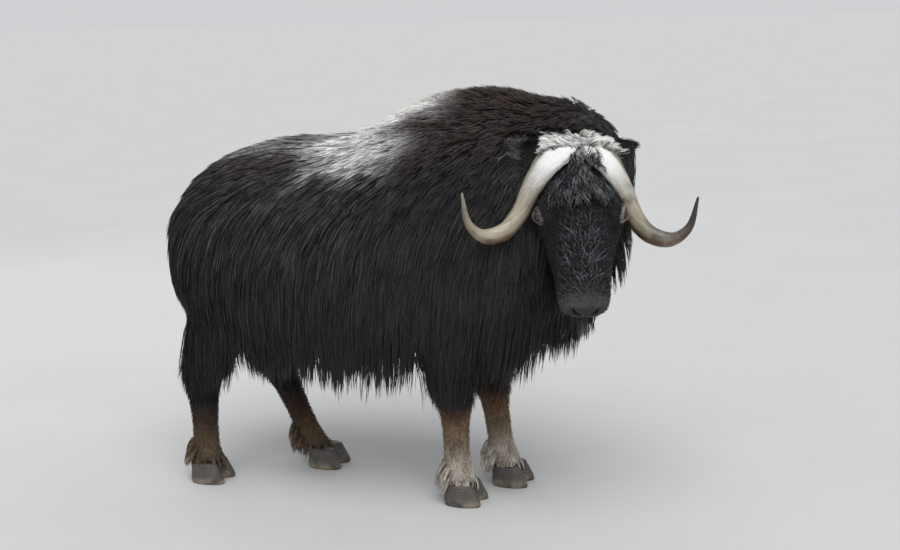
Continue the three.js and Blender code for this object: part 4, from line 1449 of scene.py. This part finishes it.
    @staticmethod
    def face_way(points: Array, normals: Array) -> Array:
        """The lie of the face's short hair: back from the nose and down the cheeks."""
        ahead, aside, _ = moved(HEAD_BACK, points).T
        part = np.tanh(aside / 30)
        cheek = smooth(np.abs(aside), 45, 95)
        way = mix(columns(-1, 0.5 * part, -0.25), np.array((-0.75, 0, -0.9)), cheek)
        fore = 1 - smooth(ahead, 190, 250)
        way = mix(way, columns(1, 0.35 * part, 0), fore * (1 - cheek))
        return turned(HEAD_PLACE, way)

    @staticmethod
    def clear_face(points: Array) -> Array:
        """Which places on the face are clear of eyes, nose pad, nostrils and mouth."""
        head = moved(HEAD_BACK, points)
        clear = ~within(head, (476, FAR), 46, (-100, -34))
        for side in Side:
            fore, rise, out = lid_place(head, side)
            clear &= ~((np.hypot(fore / 31.0, rise / 24.0) < 1) & (out > -25))
        line = -99 - (head[:, 0] - 325) * 0.07 + 5 * smooth(np.abs(head[:, 1]), 10, 60)
        return clear & ~((head[:, 0] > 335) & (np.abs(head[:, 2] - line) < 4.5))

    def face(self) -> list[Hair]:
        """The face's hair: short over all, longer on the cheeks, and curled on the bridge of the nose."""

        def length(points: Array) -> Array:
            """Short at the muzzle, longer towards cheeks and throat."""
            head = moved(HEAD_BACK, points)
            back = 1 - smooth(head[:, 0], 130, 400)
            return 10 + 16 * back + 26 * smooth(-head[:, 2], 60, 150) * back

        def bridge(points: Array) -> Array:
            """Which places lie on the bridge of the nose."""
            return within(moved(HEAD_BACK, points), (205, 455), 62, (-34, FAR))

        way = self.face_way
        short = self.short(self.on_face, self.face_gap, 61, way, length, 2.5, 0.34, 0.8, 3, self.clear_face)
        curls = self.short(self.on_face, 6.0, 63, way, 25, 2.6, 0.55, 3.2, 6, bridge)
        under = np.linalg.norm(self.raised(short.roots, short.normals) - short.roots, axis=1) > 0
        return [short.some(~under), curls]

    def bent(self, at: Array, normals: Array, way: Array, length: Array, lift: Array | float, fall: Array,
             places: int, on_horns: bool = False) -> Guides:
        """Guide lines that stand from the skin and bend over.

        Args:
            at: the roots.
            normals: the outward directions there.
            way: where the hair heads, before it is laid along the skin.
            length: its length.
            lift: how steeply it starts, 0 to 1.
            fall: where it bends to by its tip.
            places: points to a line.
            on_horns: whether it stands on a horn where one covers the skin.
        Returns:
            The lines.
        """
        start = unit(mix(across(way, normals), normals, np.broadcast_to(lift, len(at))))
        step = np.broadcast_to(length, len(at)) / (places - 1)
        here = self.raised(at, normals) if on_horns else at
        lines, outs = [here - normals * self.sunk], [normals]
        for k in range(1, places):
            share = (k - 0.5) / (places - 1)
            heading = unit(mix(start, fall, np.full(len(at), share**1.2)))
            here = here + heading * step[:, None]
            near, face, _ = self.surface.nearest(here)
            off = np.sum((here - near) * face, 1)
            here = here + face * np.maximum(5 + 4 * share - off, 0)[:, None]
            lines.append(here)
            outs.append(across(normals, heading))
        return Guides(at, normals, np.stack(lines, 1), np.stack(outs, 1))

    def forelock(self) -> list[Hair]:
        """The curled forelock between the horns and the white tuft over the crown."""
        at, normals, _ = self.surface.scatter(11.5, 71, self.on_face | self.on_nape)
        head = moved(HEAD_BACK, at)
        ahead, aside, above = head.T
        dice = np.random.default_rng(72)
        off = np.abs(aside - parting(ahead))
        vee = (ahead > 30) & (ahead < 178) & (off < np.minimum(24 + 0.46 * (ahead - 40), 82)) & (above > 10)
        side = np.tanh(aside[vee] / 40)
        way = columns(1, 0.35 * side, 0 * side) + dice.normal(0, 0.3, (len(side), 3))
        fall = columns(1, 0.25 * side, -0.42)
        length = 40 + 14 * smooth(ahead[vee], 60, 150) + dice.normal(0, 6, len(side))
        curls = self.tufts(at[vee], normals[vee], way, length, 0.42, fall, 8)
        curls = self.locks(curls, 7, 9, 2.6, 7.5, 0.45, 73)
        crown = within(head, (-62, 46), 106, (6, FAR))
        side = np.tanh(aside[crown] / 40)
        way = columns(-0.35, side, 0 * side) + dice.normal(0, 0.34, (len(side), 3))
        fall = columns(0.1, 1.1 * side, 0 * side)
        length = 30 + dice.normal(0, 5, len(side))
        tuft = self.tufts(at[crown], normals[crown], way, length, 0.36, fall, 5)
        return [curls, self.clear_of_ears(self.locks(tuft, 10, 9, 2.6, 3.5, 0.3, 75))]

    def tufts(self, at: Array, normals: Array, way: Array, length: Array, lift: float, fall: Array,
              places: int) -> Guides:
        """Bent guide lines on the crown and brow, their directions given in the head's own axes."""
        way, fall = turned(HEAD_PLACE, way), unit(turned(HEAD_PLACE, fall))
        return self.bent(at, normals, way, length, lift, fall, places, True)

    def beard(self) -> Hair:
        """The long hair under the jaw and behind the cheeks."""
        at, normals, _ = self.surface.scatter(18, 81, self.on_face)
        head = moved(HEAD_BACK, at)
        ahead, aside, above = head.T
        cheek = (np.abs(aside) > 62) & (above < -34) & (ahead < 300)
        low = (above < -112) & (ahead < 440) | (above < -10) & (ahead < 110) | cheek
        at, normals, head = at[low], normals[low], head[low]
        chin = smooth(head[:, 0], 230, 400)
        length = 125 - 21 * chin + np.random.default_rng(82).normal(0, 12, len(at))
        fall = unit(DOWN + 0.05 * normals * (1 - chin)[:, None])
        guides = self.bent(at, normals, DOWN, length, 0.30 - 0.10 * chin, fall, 6)
        return self.clear_of_ears(self.locks(guides, 8, 15, 3.2, 4.0, 0.5, 83))

    def legs(self) -> list[Hair]:
        """The short hair of the legs, longer high up and behind the fetlocks."""
        lean = np.array((-0.16, 0, -1))

        def length(points: Array) -> Array:
            """Longer towards the body."""
            return 16 + 62 * smooth(points[:, 2], 250, 440)

        def down(points: Array, normals: Array) -> Array:
            """Down the leg and a little back."""
            return np.broadcast_to(lean, points.shape)

        short = self.short(self.on_leg, self.leg_gap, 91, down, length, 3.0, 0.26, 1.0, 3)
        at, normals, _ = self.surface.scatter(12.5, 93, self.on_leg)
        behind = (normals[:, 0] < -0.15) & (at[:, 2] > 80) & (at[:, 2] < 150)
        keep = behind | (at[:, 2] < self.coronet_top) & (normals[:, 2] > -0.5)
        at, normals = at[keep], normals[keep]
        low = at[:, 2] < self.coronet_top
        guides = self.bent(at, normals, lean, np.where(low, 50, 66), np.where(low, 0.30, 0.50), lean, 5)
        guides.lines[:, :, 2] = np.maximum(guides.lines[:, :, 2], 5)
        return [short, self.locks(guides, 7, 8, 3.0, 2.5, 0.6, 94)]

    def ears(self) -> Hair:
        """The hair on the ears: short all over, and long locks that hang down from the left ear."""

        def outward(points: Array, normals: Array) -> Array:
            """Along each ear towards its tip."""
            (left_root, left_tip), (right_root, right_tip) = (ear_ends(side) for side in Side)
            left = np.linalg.norm(points - left_tip, axis=1) < np.linalg.norm(points - right_tip, axis=1)
            return np.where(left[:, None], unit(left_tip - left_root), unit(right_tip - right_root))

        short = self.short(self.on_ear, 4.6, 101, outward, 15, 2.0, 0.36, 1.6, 4)
        at, normals, _ = self.surface.scatter(12.0, 103, self.on_ear)
        head = moved(HEAD_BACK, at)
        keep = (head[:, 1] > 90) & (head[:, 1] < 168) & (normals[:, 2] < 0.35)
        at, normals = at[keep], normals[keep]
        length = np.random.default_rng(104).uniform(95, 145, len(at))
        guides = self.bent(at, normals, DOWN, length, 0.3, DOWN, 4)
        return Hair.of([short, self.locks(guides, 11, 11, 2.8, 3.0, 0.15, 105)])

    def mesh(self, name: str, hair: Hair) -> Object:
        """Builds one piece of the coat from its hairs, as tapered tubes of three sides, smooth shaded."""
        count, places = hair.lines.shape[:2]
        rings = places - 1
        per = rings * 3 + 1
        share = np.linspace(0, 1, places)
        along = unit(np.gradient(hair.lines, axis=1))[:, :rings]
        outs = across(hair.outs[:, :rings], along)
        shape = (0.62 + 1.25 * share - 1.55 * share**2)[None, :rings, None] * hair.widths[:, None, None]
        line, side, out = hair.lines[:, :rings], np.cross(along, outs) * shape * 0.5, outs * shape * 0.42
        corners = np.stack([line + side, line + out, line - side], 2).reshape(count, rings * 3, 3)
        points = np.concatenate([corners, hair.lines[:, -1:]], 1)
        ring = [(j, j + 3, (j + 1) % 3 + 3, (j + 1) % 3) for j in range(3)]
        quads = [tuple(r * 3 + i for i in quad) for r in range(rings - 1) for quad in ring]
        last = (rings - 1) * 3
        tips = [(last + (j + 1) % 3, last + j, rings * 3) for j in range(3)] + [(0, 1, 2)]
        pattern = np.array([i for face in quads + tips for i in face])
        sizes = np.array([4] * len(quads) + [3] * len(tips))
        corner = (pattern[None] + (np.arange(count) * per)[:, None]).ravel()
        starts = np.cumsum(np.concatenate([[0], np.tile(sizes, count)[:-1]]))
        mesh = bpy.data.meshes.new(name)
        mesh.vertices.add(count * per)
        mesh.loops.add(len(corner))
        mesh.polygons.add(len(starts))
        mesh.vertices.foreach_set("co", ((points + OFFSET) * MM).astype(np.float32).ravel())
        mesh.loops.foreach_set("vertex_index", corner.astype(np.int32))
        mesh.polygons.foreach_set("loop_start", starts.astype(np.int32))
        mesh.update(calc_edges=True)
        mesh.shade_smooth()
        place = self.surface.bake_place(hair.roots, hair.tris)
        i = np.arange(per)
        own = columns(((i % 3) - 1) * 0.45, (i // 3 / rings - 0.5) * 0.95) * BAKE_PATCH
        own[-1, 0] = 0
        uv = (place[:, None, :] + own[None]).reshape(-1, 2)
        layer = mesh.uv_layers.new(name=BAKE_MAP)
        layer.data.foreach_set("uv", np.clip(uv[corner], 0, 1).astype(np.float32).ravel())
        tones, legs = Markings().at(hair.roots, hair.normals)
        reach = np.concatenate([np.repeat(share[:rings], 3), [1.0]])
        store(mesh, "strand", columns(np.tile(reach, count), np.repeat(hair.tints, per), 0))
        for kind, rows in (("markings", tones), ("legs", legs), ("root", (hair.roots + OFFSET) * MM)):
            store(mesh, kind, np.repeat(rows, per, 0))
        return new_piece(name, mesh)

    def build(self) -> None:
        """Builds and dresses every piece of the coat."""
        finish = HairFinish("guard_hair").material()
        self.split("back_hair", self.back(), self.back_zones, finish)
        self.split("guard_hair", self.guard(), self.guard_zones, finish)
        self.dressed("guard_hair_belly", self.belly(), finish)
        finish = HairFinish("face_hair", 0.55, 0.05).material()
        face = [*self.face(), *self.forelock(), self.beard(), self.ears()]
        names = ("face_hair", "nose_bridge_hair", "forelock", "crown_tuft", "beard", "ear_hair")
        for name, hair in zip(names, face):
            self.dressed(name, hair, finish)
        finish = HairFinish("leg_hair", 0.6, 0.04).material()
        for name, hair in zip(("leg_hair", "fetlock_hair"), self.legs()):
            self.dressed(name, hair, finish)

    def split(self, stem: str, hair: Hair, zones: tuple[Zone, ...], finish: Material) -> None:
        """Builds long hair in pieces, by how far ahead and on which side its roots lie.

        Args:
            stem: how the pieces' names begin.
            hair: the hairs.
            zones: the name, beginning and end of each piece's place.
            finish: the material.
        """
        x, y, _ = hair.roots.T
        for zone, start, end in zones:
            for side in Side:
                keep = (x >= start) & (x < end) & ((y >= 0) == (side is Side.LEFT))
                self.dressed(f"{stem}_{zone}_{side.word}", hair.some(keep), finish)

    def dressed(self, name: str, hair: Hair, finish: Material) -> None:
        """Builds one piece of hair and gives it its material and body."""
        dress(self.mesh(name, hair), finish, [])


@dataclass(frozen=True)
class HornFinish:
    """Horn: rough, cracked and pale at the base, smooth and waxy further on, and darker at the tip, with a
    rusty stain and painted shade on the underside and painted shade over the left horn's far half.
    """

    bleached: Rgba = (0.80, 0.80, 0.79, 1)
    cream: Rgba = (0.44, 0.395, 0.31, 1)
    straw: Rgba = (0.23, 0.185, 0.12, 1)
    rust: Rgba = (0.10, 0.042, 0.02, 1)
    shade_olive: Rgba = (0.085, 0.073, 0.053, 1)
    crack: Rgba = (0.055, 0.038, 0.024, 1)
    tip: Rgba = (0.028, 0.022, 0.02, 1)

    def material(self) -> Material:
        """Builds the material, led by the place along and round the horn that is kept on it."""
        material, build = new_material("horn_sheath")
        along, under, dark = build.parts(build.attribute("horn"))
        inner, shade, _ = build.parts(build.attribute("flank"))
        grain_place = build.attribute("grain")
        place = build.object_place()
        grain = build.noise(grain_place, 9, 5, 0.6)
        cracks = build.noise(grain_place, 22, 4, 0.7)
        blotch = build.noise(place, 26, 4, 0.6)
        rough_part = build.fit(along, 0.16, 0.52, 1, 0)
        colour = build.blend(self.cream, self.straw, build.fit(grain, 0.38, 0.66))
        colour = build.blend(colour, self.cream, build.fit(along, 0.5, 0.72, 0, 0.55))
        # Painted shade: olive darkening over the far half of the horn, strong on the left horn and weak on
        # the right.
        colour = build.blend(colour, self.shade_olive, build.times(shade, build.fit(blotch, 0.3, 0.6, 0.65, 1)))
        colour = build.blend(colour, self.bleached, build.times(inner, build.fit(grain, 0.3, 0.6, 1, 0.9)))
        crack = build.times(build.fit(cracks, 0.48, 0.58), rough_part)
        crack = build.times(crack, build.fit(inner, 0, 1, 1, 0.12))
        colour = build.blend(colour, self.crack, build.times(crack, 0.85))
        # Partly a rust-brown stain, partly painted shade: the underside of the horn darkened to rust brown.
        rust = build.times(build.fit(under, 0.25, 0.9), build.fit(blotch, 0.3, 0.6, 0.35, 1))
        colour = build.blend(colour, self.rust, build.times(rust, 0.85))
        stain = build.times(build.fit(blotch, 0.52, 0.72), build.fit(inner, 0, 1, 0.50, 0.04))
        colour = build.blend(colour, self.crack, stain)
        # The dark tip, its strength differing between the horns as painted light and shade.
        colour = build.blend(colour, self.tip, dark)
        height = build.times_add(crack, -1.0, build.times(grain, rough_part))
        height = build.math("ADD", height, build.times(grain, 0.2))
        rough = build.times_add(rough_part, 0.28, build.fit(grain, 0.3, 0.7, 0.26, 0.4))
        build.surface(
            Base_Color=colour, Roughness=rough, Specular_IOR_Level=0.5, Normal=build.bump(height, 0.7, 0.003)
        )
        return material


@dataclass
class Horn:
    """One horn, pressed flat down the side of the head and hooked out and up to its tip.

    A row is ahead of the crown, aside, above it, half width and half thickness, in the head's level axes.
    """

    side: Side
    sides: int = 44
    steps: int = 110
    rows: tuple[Row, ...] = (
        (-6, 34, -18, 40, 16), (12, 55, -32, 50, 24), (24, 90, -66, 48, 28), (26, 134, -140, 41, 28),
        (36, 169, -217, 35, 27), (60, 208, -260, 29, 24), (92, 267, -270, 21, 19), (116, 312, -232, 12, 12),
        (126, 334, -138, 3, 3),
    )

    def build(self) -> Object:
        """Lofts the horn with its ridges and cracks, and keeps the place along and round it."""
        hand = self.side.value
        line = [Vector((ahead, aside * hand, above)) for ahead, aside, above, _, _ in self.rows]
        sizes = [Vector((half, thick, 0)) for *_, half, thick in self.rows]
        axis = (Vector((-60, 0, -100)), Vector((140, 0, -340)))
        way = (axis[1] - axis[0]).normalized()
        rings, kept = [], []
        for step in range(self.steps):
            share = step / self.steps
            at, size = spline(line, share, True), spline(sizes, share, True)
            along = slope(line, share, True)
            near = axis[0] + way * min(max((at - axis[0]).dot(way), 0), (axis[1] - axis[0]).length)
            away = at - near
            away = (away - along * away.dot(along)).normalized()
            aside = along.cross(away)
            rough = 1 - float(smooth(share, 0.12, 0.5))
            ring = []
            for i in range(self.sides):
                angle = math.tau * i / self.sides
                place = np.array([[angle * 40 * hand, share * 130, 7.0 * hand]])
                fibres = float(ripple(place, 26, 5)[0]) * 1.5 + float(ripple(place, 11, 6)[0]) * 0.7
                growth = 0.5 * math.sin(share * 95 + 0.9 * math.sin(angle))
                swell = (fibres * rough + growth * (0.25 + rough)) * min(size.y / 14, 1)
                out = aside * math.cos(angle) * (size.x + swell) + away * math.sin(angle) * (size.y + swell)
                ring.append(HORN_PLACE @ (at + out))
                heading = out.normalized()
                # The underside mask, for the rusty stain and the painted shade under the horn.
                under = float(smooth(-heading.z, -0.4, 0.6) * smooth(share, 0.28, 0.48))
                inner = float(smooth(heading.x, -0.05, 0.60) * (1 - smooth(share, 0.22, 0.46)))
                kept.append((share, angle, under, max(inner, 1 - share / 0.06)))
            rings.append(ring)
        bm = bmesh.new()
        ends = (HORN_PLACE @ (spline(line, 0, True) - slope(line, 0.01, True) * 8), HORN_PLACE @ line[-1])
        loft(bm, rings, ends)
        horn = piece_from(bm, f"horn_sheath_{self.side.word}")
        share, angle, under, inner = np.array([*kept, (0, 0, 0, 1), (1, 0, 0, 0)]).T
        left = self.side is Side.LEFT
        # The dark tip is the horn's own colour; it is painted stronger on the left horn than on the right as
        # light and shade.
        dark = smooth(share, 0.76, 0.93) * (1.0 if left else 0.30)
        # Painted shade on the far half: strong on the left horn, weak on the right.
        shade = smooth(share, 0.40, 0.66) * (0.95 if left else 0.25)
        store(horn.data, "flank", columns(np.clip(inner, 0, 1), shade, 0))
        store(horn.data, "horn", columns(share, under, dark))
        store(horn.data, "grain", columns(np.cos(angle) * 1.6, np.sin(angle) * 1.6, share * 0.9 + hand * 3))
        return horn


@dataclass(frozen=True)
class EyeFinish:
    """A wet dark brown eye with a bar-shaped pupil and a bluish rim to the iris."""

    iris: Rgba = (0.055, 0.026, 0.012, 1)
    edge: Rgba = (0.012, 0.010, 0.012, 1)
    pupil: Rgba = (0.002, 0.002, 0.003, 1)
    white: Rgba = (0.20, 0.14, 0.12, 1)

    def material(self) -> Material:
        """Builds the material from the place on the ball that is kept on it."""
        material, build = new_material("eye_ball")
        place = build.attribute("gaze")
        fore, rise, _ = build.parts(place)
        far = build.math("SQRT", build.times_add(fore, fore, build.times(rise, rise)))
        flecks = build.noise(place, 9, 4, 0.7)
        colour = build.blend(self.iris, self.edge, build.fit(flecks, 0.35, 0.7))
        colour = build.blend(colour, self.edge, build.fit(far, 0.52, 0.68))
        colour = build.blend(colour, self.white, build.fit(far, 0.74, 0.84))
        wide = build.math("ABSOLUTE", build.math("DIVIDE", fore, 0.36))
        tall = build.math("ABSOLUTE", build.math("DIVIDE", rise, 0.15))
        bar = build.math("ADD", build.math("POWER", wide, 3.0), build.math("POWER", tall, 3.0))
        colour = build.blend(colour, self.pupil, build.fit(bar, 1.3, 0.8))
        rough = build.fit(flecks, 0.3, 0.7, 0.04, 0.09)
        build.surface(
            Base_Color=colour, Roughness=rough, Specular_IOR_Level=0.4, Coat_Weight=0.4, Coat_Roughness=0.03,
            Normal=build.bump(flecks, 0.1, 0.0002),
        )
        return material


@dataclass
class Eye:
    """One eyeball, its cornea a little proud of it."""

    side: Side
    radius: float = EYE_RADIUS
    cornea: float = 1.3

    def build(self) -> Object:
        """Builds the ball and keeps the place on it, as seen along the gaze."""
        bm = bmesh.new()
        bmesh.ops.create_uvsphere(bm, u_segments=48, v_segments=28, radius=self.radius)
        gaze = Vector(gaze_of(self.side))
        bmesh.ops.rotate(bm, verts=bm.verts, matrix=gaze.to_track_quat("Z", "X").to_matrix())
        for vert in bm.verts:
            facing = vert.co.normalized().dot(gaze)
            vert.co *= 1 + self.cornea / self.radius * float(smooth(facing, 0.72, 0.95))
        bmesh.ops.translate(bm, verts=bm.verts, vec=Vector(eye_at(self.side)))
        rows = np.array([v.co[:] for v in bm.verts])
        fore, rise, out = lid_place(rows, self.side)
        eye = piece_from(bm, f"eye_ball_{self.side.word}", HEAD_PLACE)
        store(eye.data, "gaze", np.stack([fore, rise, out], 1) / self.radius)
        return eye


@dataclass(frozen=True)
class HoofFinish:
    """Hoof horn: grey-brown with growth rings and fine upright lines, dusty towards the ground."""

    shell: Rgba = (0.040, 0.036, 0.034, 1)
    pale: Rgba = (0.090, 0.080, 0.068, 1)
    dust: Rgba = (0.22, 0.18, 0.13, 1)
    rings: float = 1100.0

    def material(self) -> Material:
        """Builds the material on the piece's own place."""
        material, build = new_material("hoof_horn")
        place = build.object_place()
        height = build.parts(place)[2]
        wander = build.noise(place, 30, 3)
        wave = build.math("SINE", build.times_add(height, self.rings, build.times(wander, 6.0)))
        lines = build.noise(build.object_place((1, 1, 0.08)), 420, 3, 0.6)
        ringed = build.fit(build.math("ADD", wave, lines), -0.2, 1.4, 0, 0.6)
        colour = build.blend(self.shell, self.pale, ringed)
        dusty = build.times(build.fit(height, 0.004, 0.035, 1, 0.12), build.fit(wander, 0.35, 0.65))
        colour = build.blend(colour, self.dust, dusty)
        relief = build.times_add(wave, 0.22, lines)
        rough = build.fit(lines, 0.3, 0.7, 0.42, 0.7)
        build.surface(Base_Color=colour, Roughness=rough, Normal=build.bump(relief, 0.5, 0.0012))
        return material


@dataclass
class Hooves:
    """The two broad toes and the dewclaws of one foot."""

    leg: Leg
    apart: float = 33.0
    splay: float = math.radians(5)
    toe: tuple[Row, ...] = ((0, 31, 70, 50), (16, 32, 68, 52), (40, 29.5, 56, 50), (66, 26, 42, 44))
    claw: Triple = (13, 9, 17)

    def build(self) -> Object:
        """Lofts both toes with their growth rings, a worn edge and a dished sole, and sets the dewclaws."""
        bm = bmesh.new()
        form = Form(
            [(0, 0, height, half, ahead, behind) for height, half, ahead, behind in self.toe],
            up=(1, 0, 0), axis=(0, 0, 1), power=(1.8, 2.4), caps=(-3, 0),
        )
        for hand in (1, -1):
            verts = form.build(bm, 40, 26)
            for vert in verts:
                far = math.hypot(vert.co.x, vert.co.y)
                if far > 5:
                    x, y, z = vert.co
                    ring = 0.3 * math.sin(z * 0.62 + x * 0.04) + 0.2 * math.sin(z * 1.4)
                    worn = -2.2 * float(smooth(-z, -5, 0))
                    vert.co += Vector((x, y, 0)) / far * (ring + worn)
            bmesh.ops.rotate(bm, verts=verts, matrix=Matrix.Rotation(self.splay * hand, 3, "Z"))
            x, y = self.leg.foot
            bmesh.ops.translate(bm, verts=verts, vec=(x + 8, y + self.apart * hand, 0))
            verts = bmesh.ops.create_uvsphere(bm, u_segments=16, v_segments=10, radius=1)["verts"]
            bmesh.ops.scale(bm, verts=verts, vec=self.claw)
            bmesh.ops.rotate(bm, verts=verts, matrix=Matrix.Rotation(math.radians(24), 3, "Y"))
            bmesh.ops.translate(bm, verts=verts, vec=(self.leg.ahead(100) - 49, y + 21 * hand, 100))
        return piece_from(bm, f"hooves_{self.leg.name}")


@dataclass(frozen=True)
class Studio:
    """A plain pale floor, soft lights and the camera at the photograph's angle."""

    eye: Triple = (1.383, -4.074, 1.6)
    heading: Pair = (-0.342, 0.940)
    dip: float = math.radians(11.6)
    roll: float = -0.03
    lens: float = 56.0
    reach: float = 60.0
    box_side: float = 2.6
    floor_dark: Rgba = (0.50, 0.50, 0.495, 1)
    floor_light: Rgba = (0.52, 0.52, 0.512, 1)
    air: Rgba = (0.86, 0.88, 0.90, 1)

    def camera(self) -> None:
        """Sets the camera."""
        data = bpy.data.cameras.new("camera")
        data.lens, data.sensor_width, data.clip_end = self.lens, 36, 400
        camera = new_piece("camera", data)
        flat = Vector((*self.heading, 0)).normalized() * math.cos(self.dip)
        look = Vector((flat.x, flat.y, -math.sin(self.dip)))
        right = look.cross(Vector((0, 0, 1))).normalized()
        frame_of = Matrix((right, right.cross(look), -look)).transposed()
        turn = frame_of.to_4x4() @ Matrix.Rotation(self.roll, 4, "Z")
        camera.matrix_world = Matrix.Translation(Vector(self.eye) + SHIFT * MM) @ turn
        bpy.context.scene.camera = camera

    def floor(self) -> None:
        """Lays the floor."""
        bm = bmesh.new()
        bmesh.ops.create_grid(bm, x_segments=4, y_segments=4, size=self.reach)
        mesh = bpy.data.meshes.new("floor")
        bm.to_mesh(mesh)
        bm.free()
        floor = new_piece("floor", mesh)
        material, build = new_material("pale_floor")
        place = build.object_place()
        cloud = build.fit(build.noise(place, 1.2, 4), 0.3, 0.7)
        fine = build.noise(place, 160, 3)
        build.surface(
            Base_Color=build.blend(self.floor_dark, self.floor_light, cloud),
            Roughness=build.fit(fine, 0.3, 0.7, 0.75, 0.9),
            Normal=build.bump(fine, 0.15, 0.0005),
        )
        floor.data.materials.append(material)

    @staticmethod
    def lamp(name: str, kind: str, power: float, colour: Triple) -> Object:
        """Hangs a light of a kind, with its power in watts, or to a square metre for the sun's kind."""
        data = bpy.data.lights.new(name, kind)
        data.energy, data.color = power, colour
        return new_piece(name, data)

    def soft_box(self, name: str, at: Triple, aim: Triple, power: float, colour: Triple) -> None:
        """Hangs one soft square light.

        Args:
            name: its name.
            at: where it hangs, in metres.
            aim: the point that it faces.
            power: its strength in watts.
            colour: its colour.
        """
        lamp = self.lamp(name, "AREA", power, colour)
        lamp.data.size = self.box_side
        lamp.location = at
        lamp.rotation_euler = (Vector(aim) - Vector(at)).to_track_quat("-Z", "Y").to_euler()

    def sky(self) -> None:
        """Lights the whole floor evenly from above with one broad, soft source, and sets the surroundings."""
        lamp = self.lamp("sky", "SUN", 2.25, (0.98, 0.99, 1.0))
        lamp.data.angle = math.radians(50)
        lamp.rotation_euler = (math.radians(28), math.radians(12), 0)
        world = bpy.data.worlds.new("surroundings")
        world.use_nodes = True
        bpy.context.scene.world = world
        colour, strength = world.node_tree.nodes["Background"].inputs[:2]
        colour.default_value, strength.default_value = self.air, 0.72

    def build(self) -> None:
        """Sets up the floor, lights, surroundings and camera."""
        self.floor()
        self.soft_box("front", (3.4, -4.6, 3.0), (0.3, -0.2, 0.8), 30, (1.0, 0.99, 0.97))
        self.soft_box("rear", (-3.6, 2.6, 3.0), (-0.3, 0, 0.9), 22, (0.95, 0.98, 1.0))
        self.sky()
        bpy.context.scene.view_settings.view_transform = "Standard"
        self.camera()


def tree_of(pieces: list[Object]) -> BVHTree:
    """The faces of some pieces as one search tree, in mm in the design's frame."""
    points, faces = [], []
    for piece in pieces:
        first = len(points)
        points += [vert.co / MM - SHIFT for vert in piece.data.vertices]
        faces += [[first + i for i in face.vertices] for face in piece.data.polygons]
    return BVHTree.FromPolygons(points, faces)


def main() -> None:
    """Builds the animal and the studio."""
    logging.basicConfig(level=logging.INFO, format="%(message)s")
    skin = Skin().build()
    flesh = ["head", "neck", "torso", "tail"]
    flesh += [f"ear_{side.word}" for side in Side]
    flesh += [f"{part}_leg_{leg.name}" for part in ("upper", "lower") for leg in LEGS]
    dress(skin, SkinFinish().material(), flesh)
    horn, ball, shell = HornFinish().material(), EyeFinish().material(), HoofFinish().material()
    horns = {side: Horn(side).build() for side in Side}
    Coat(Surface(skin), tree_of(list(horns.values()))).build()
    for side in Side:
        dress(horns[side], horn, [f"horn_{side.word}"])
        dress(Eye(side).build(), ball, [f"eye_{side.word}"])
    for leg in LEGS:
        dress(Hooves(leg).build(), shell, [f"toe_{leg.name}_{side.word}" for side in Side])
    Studio().build()


if __name__ == "__main__":
    main()
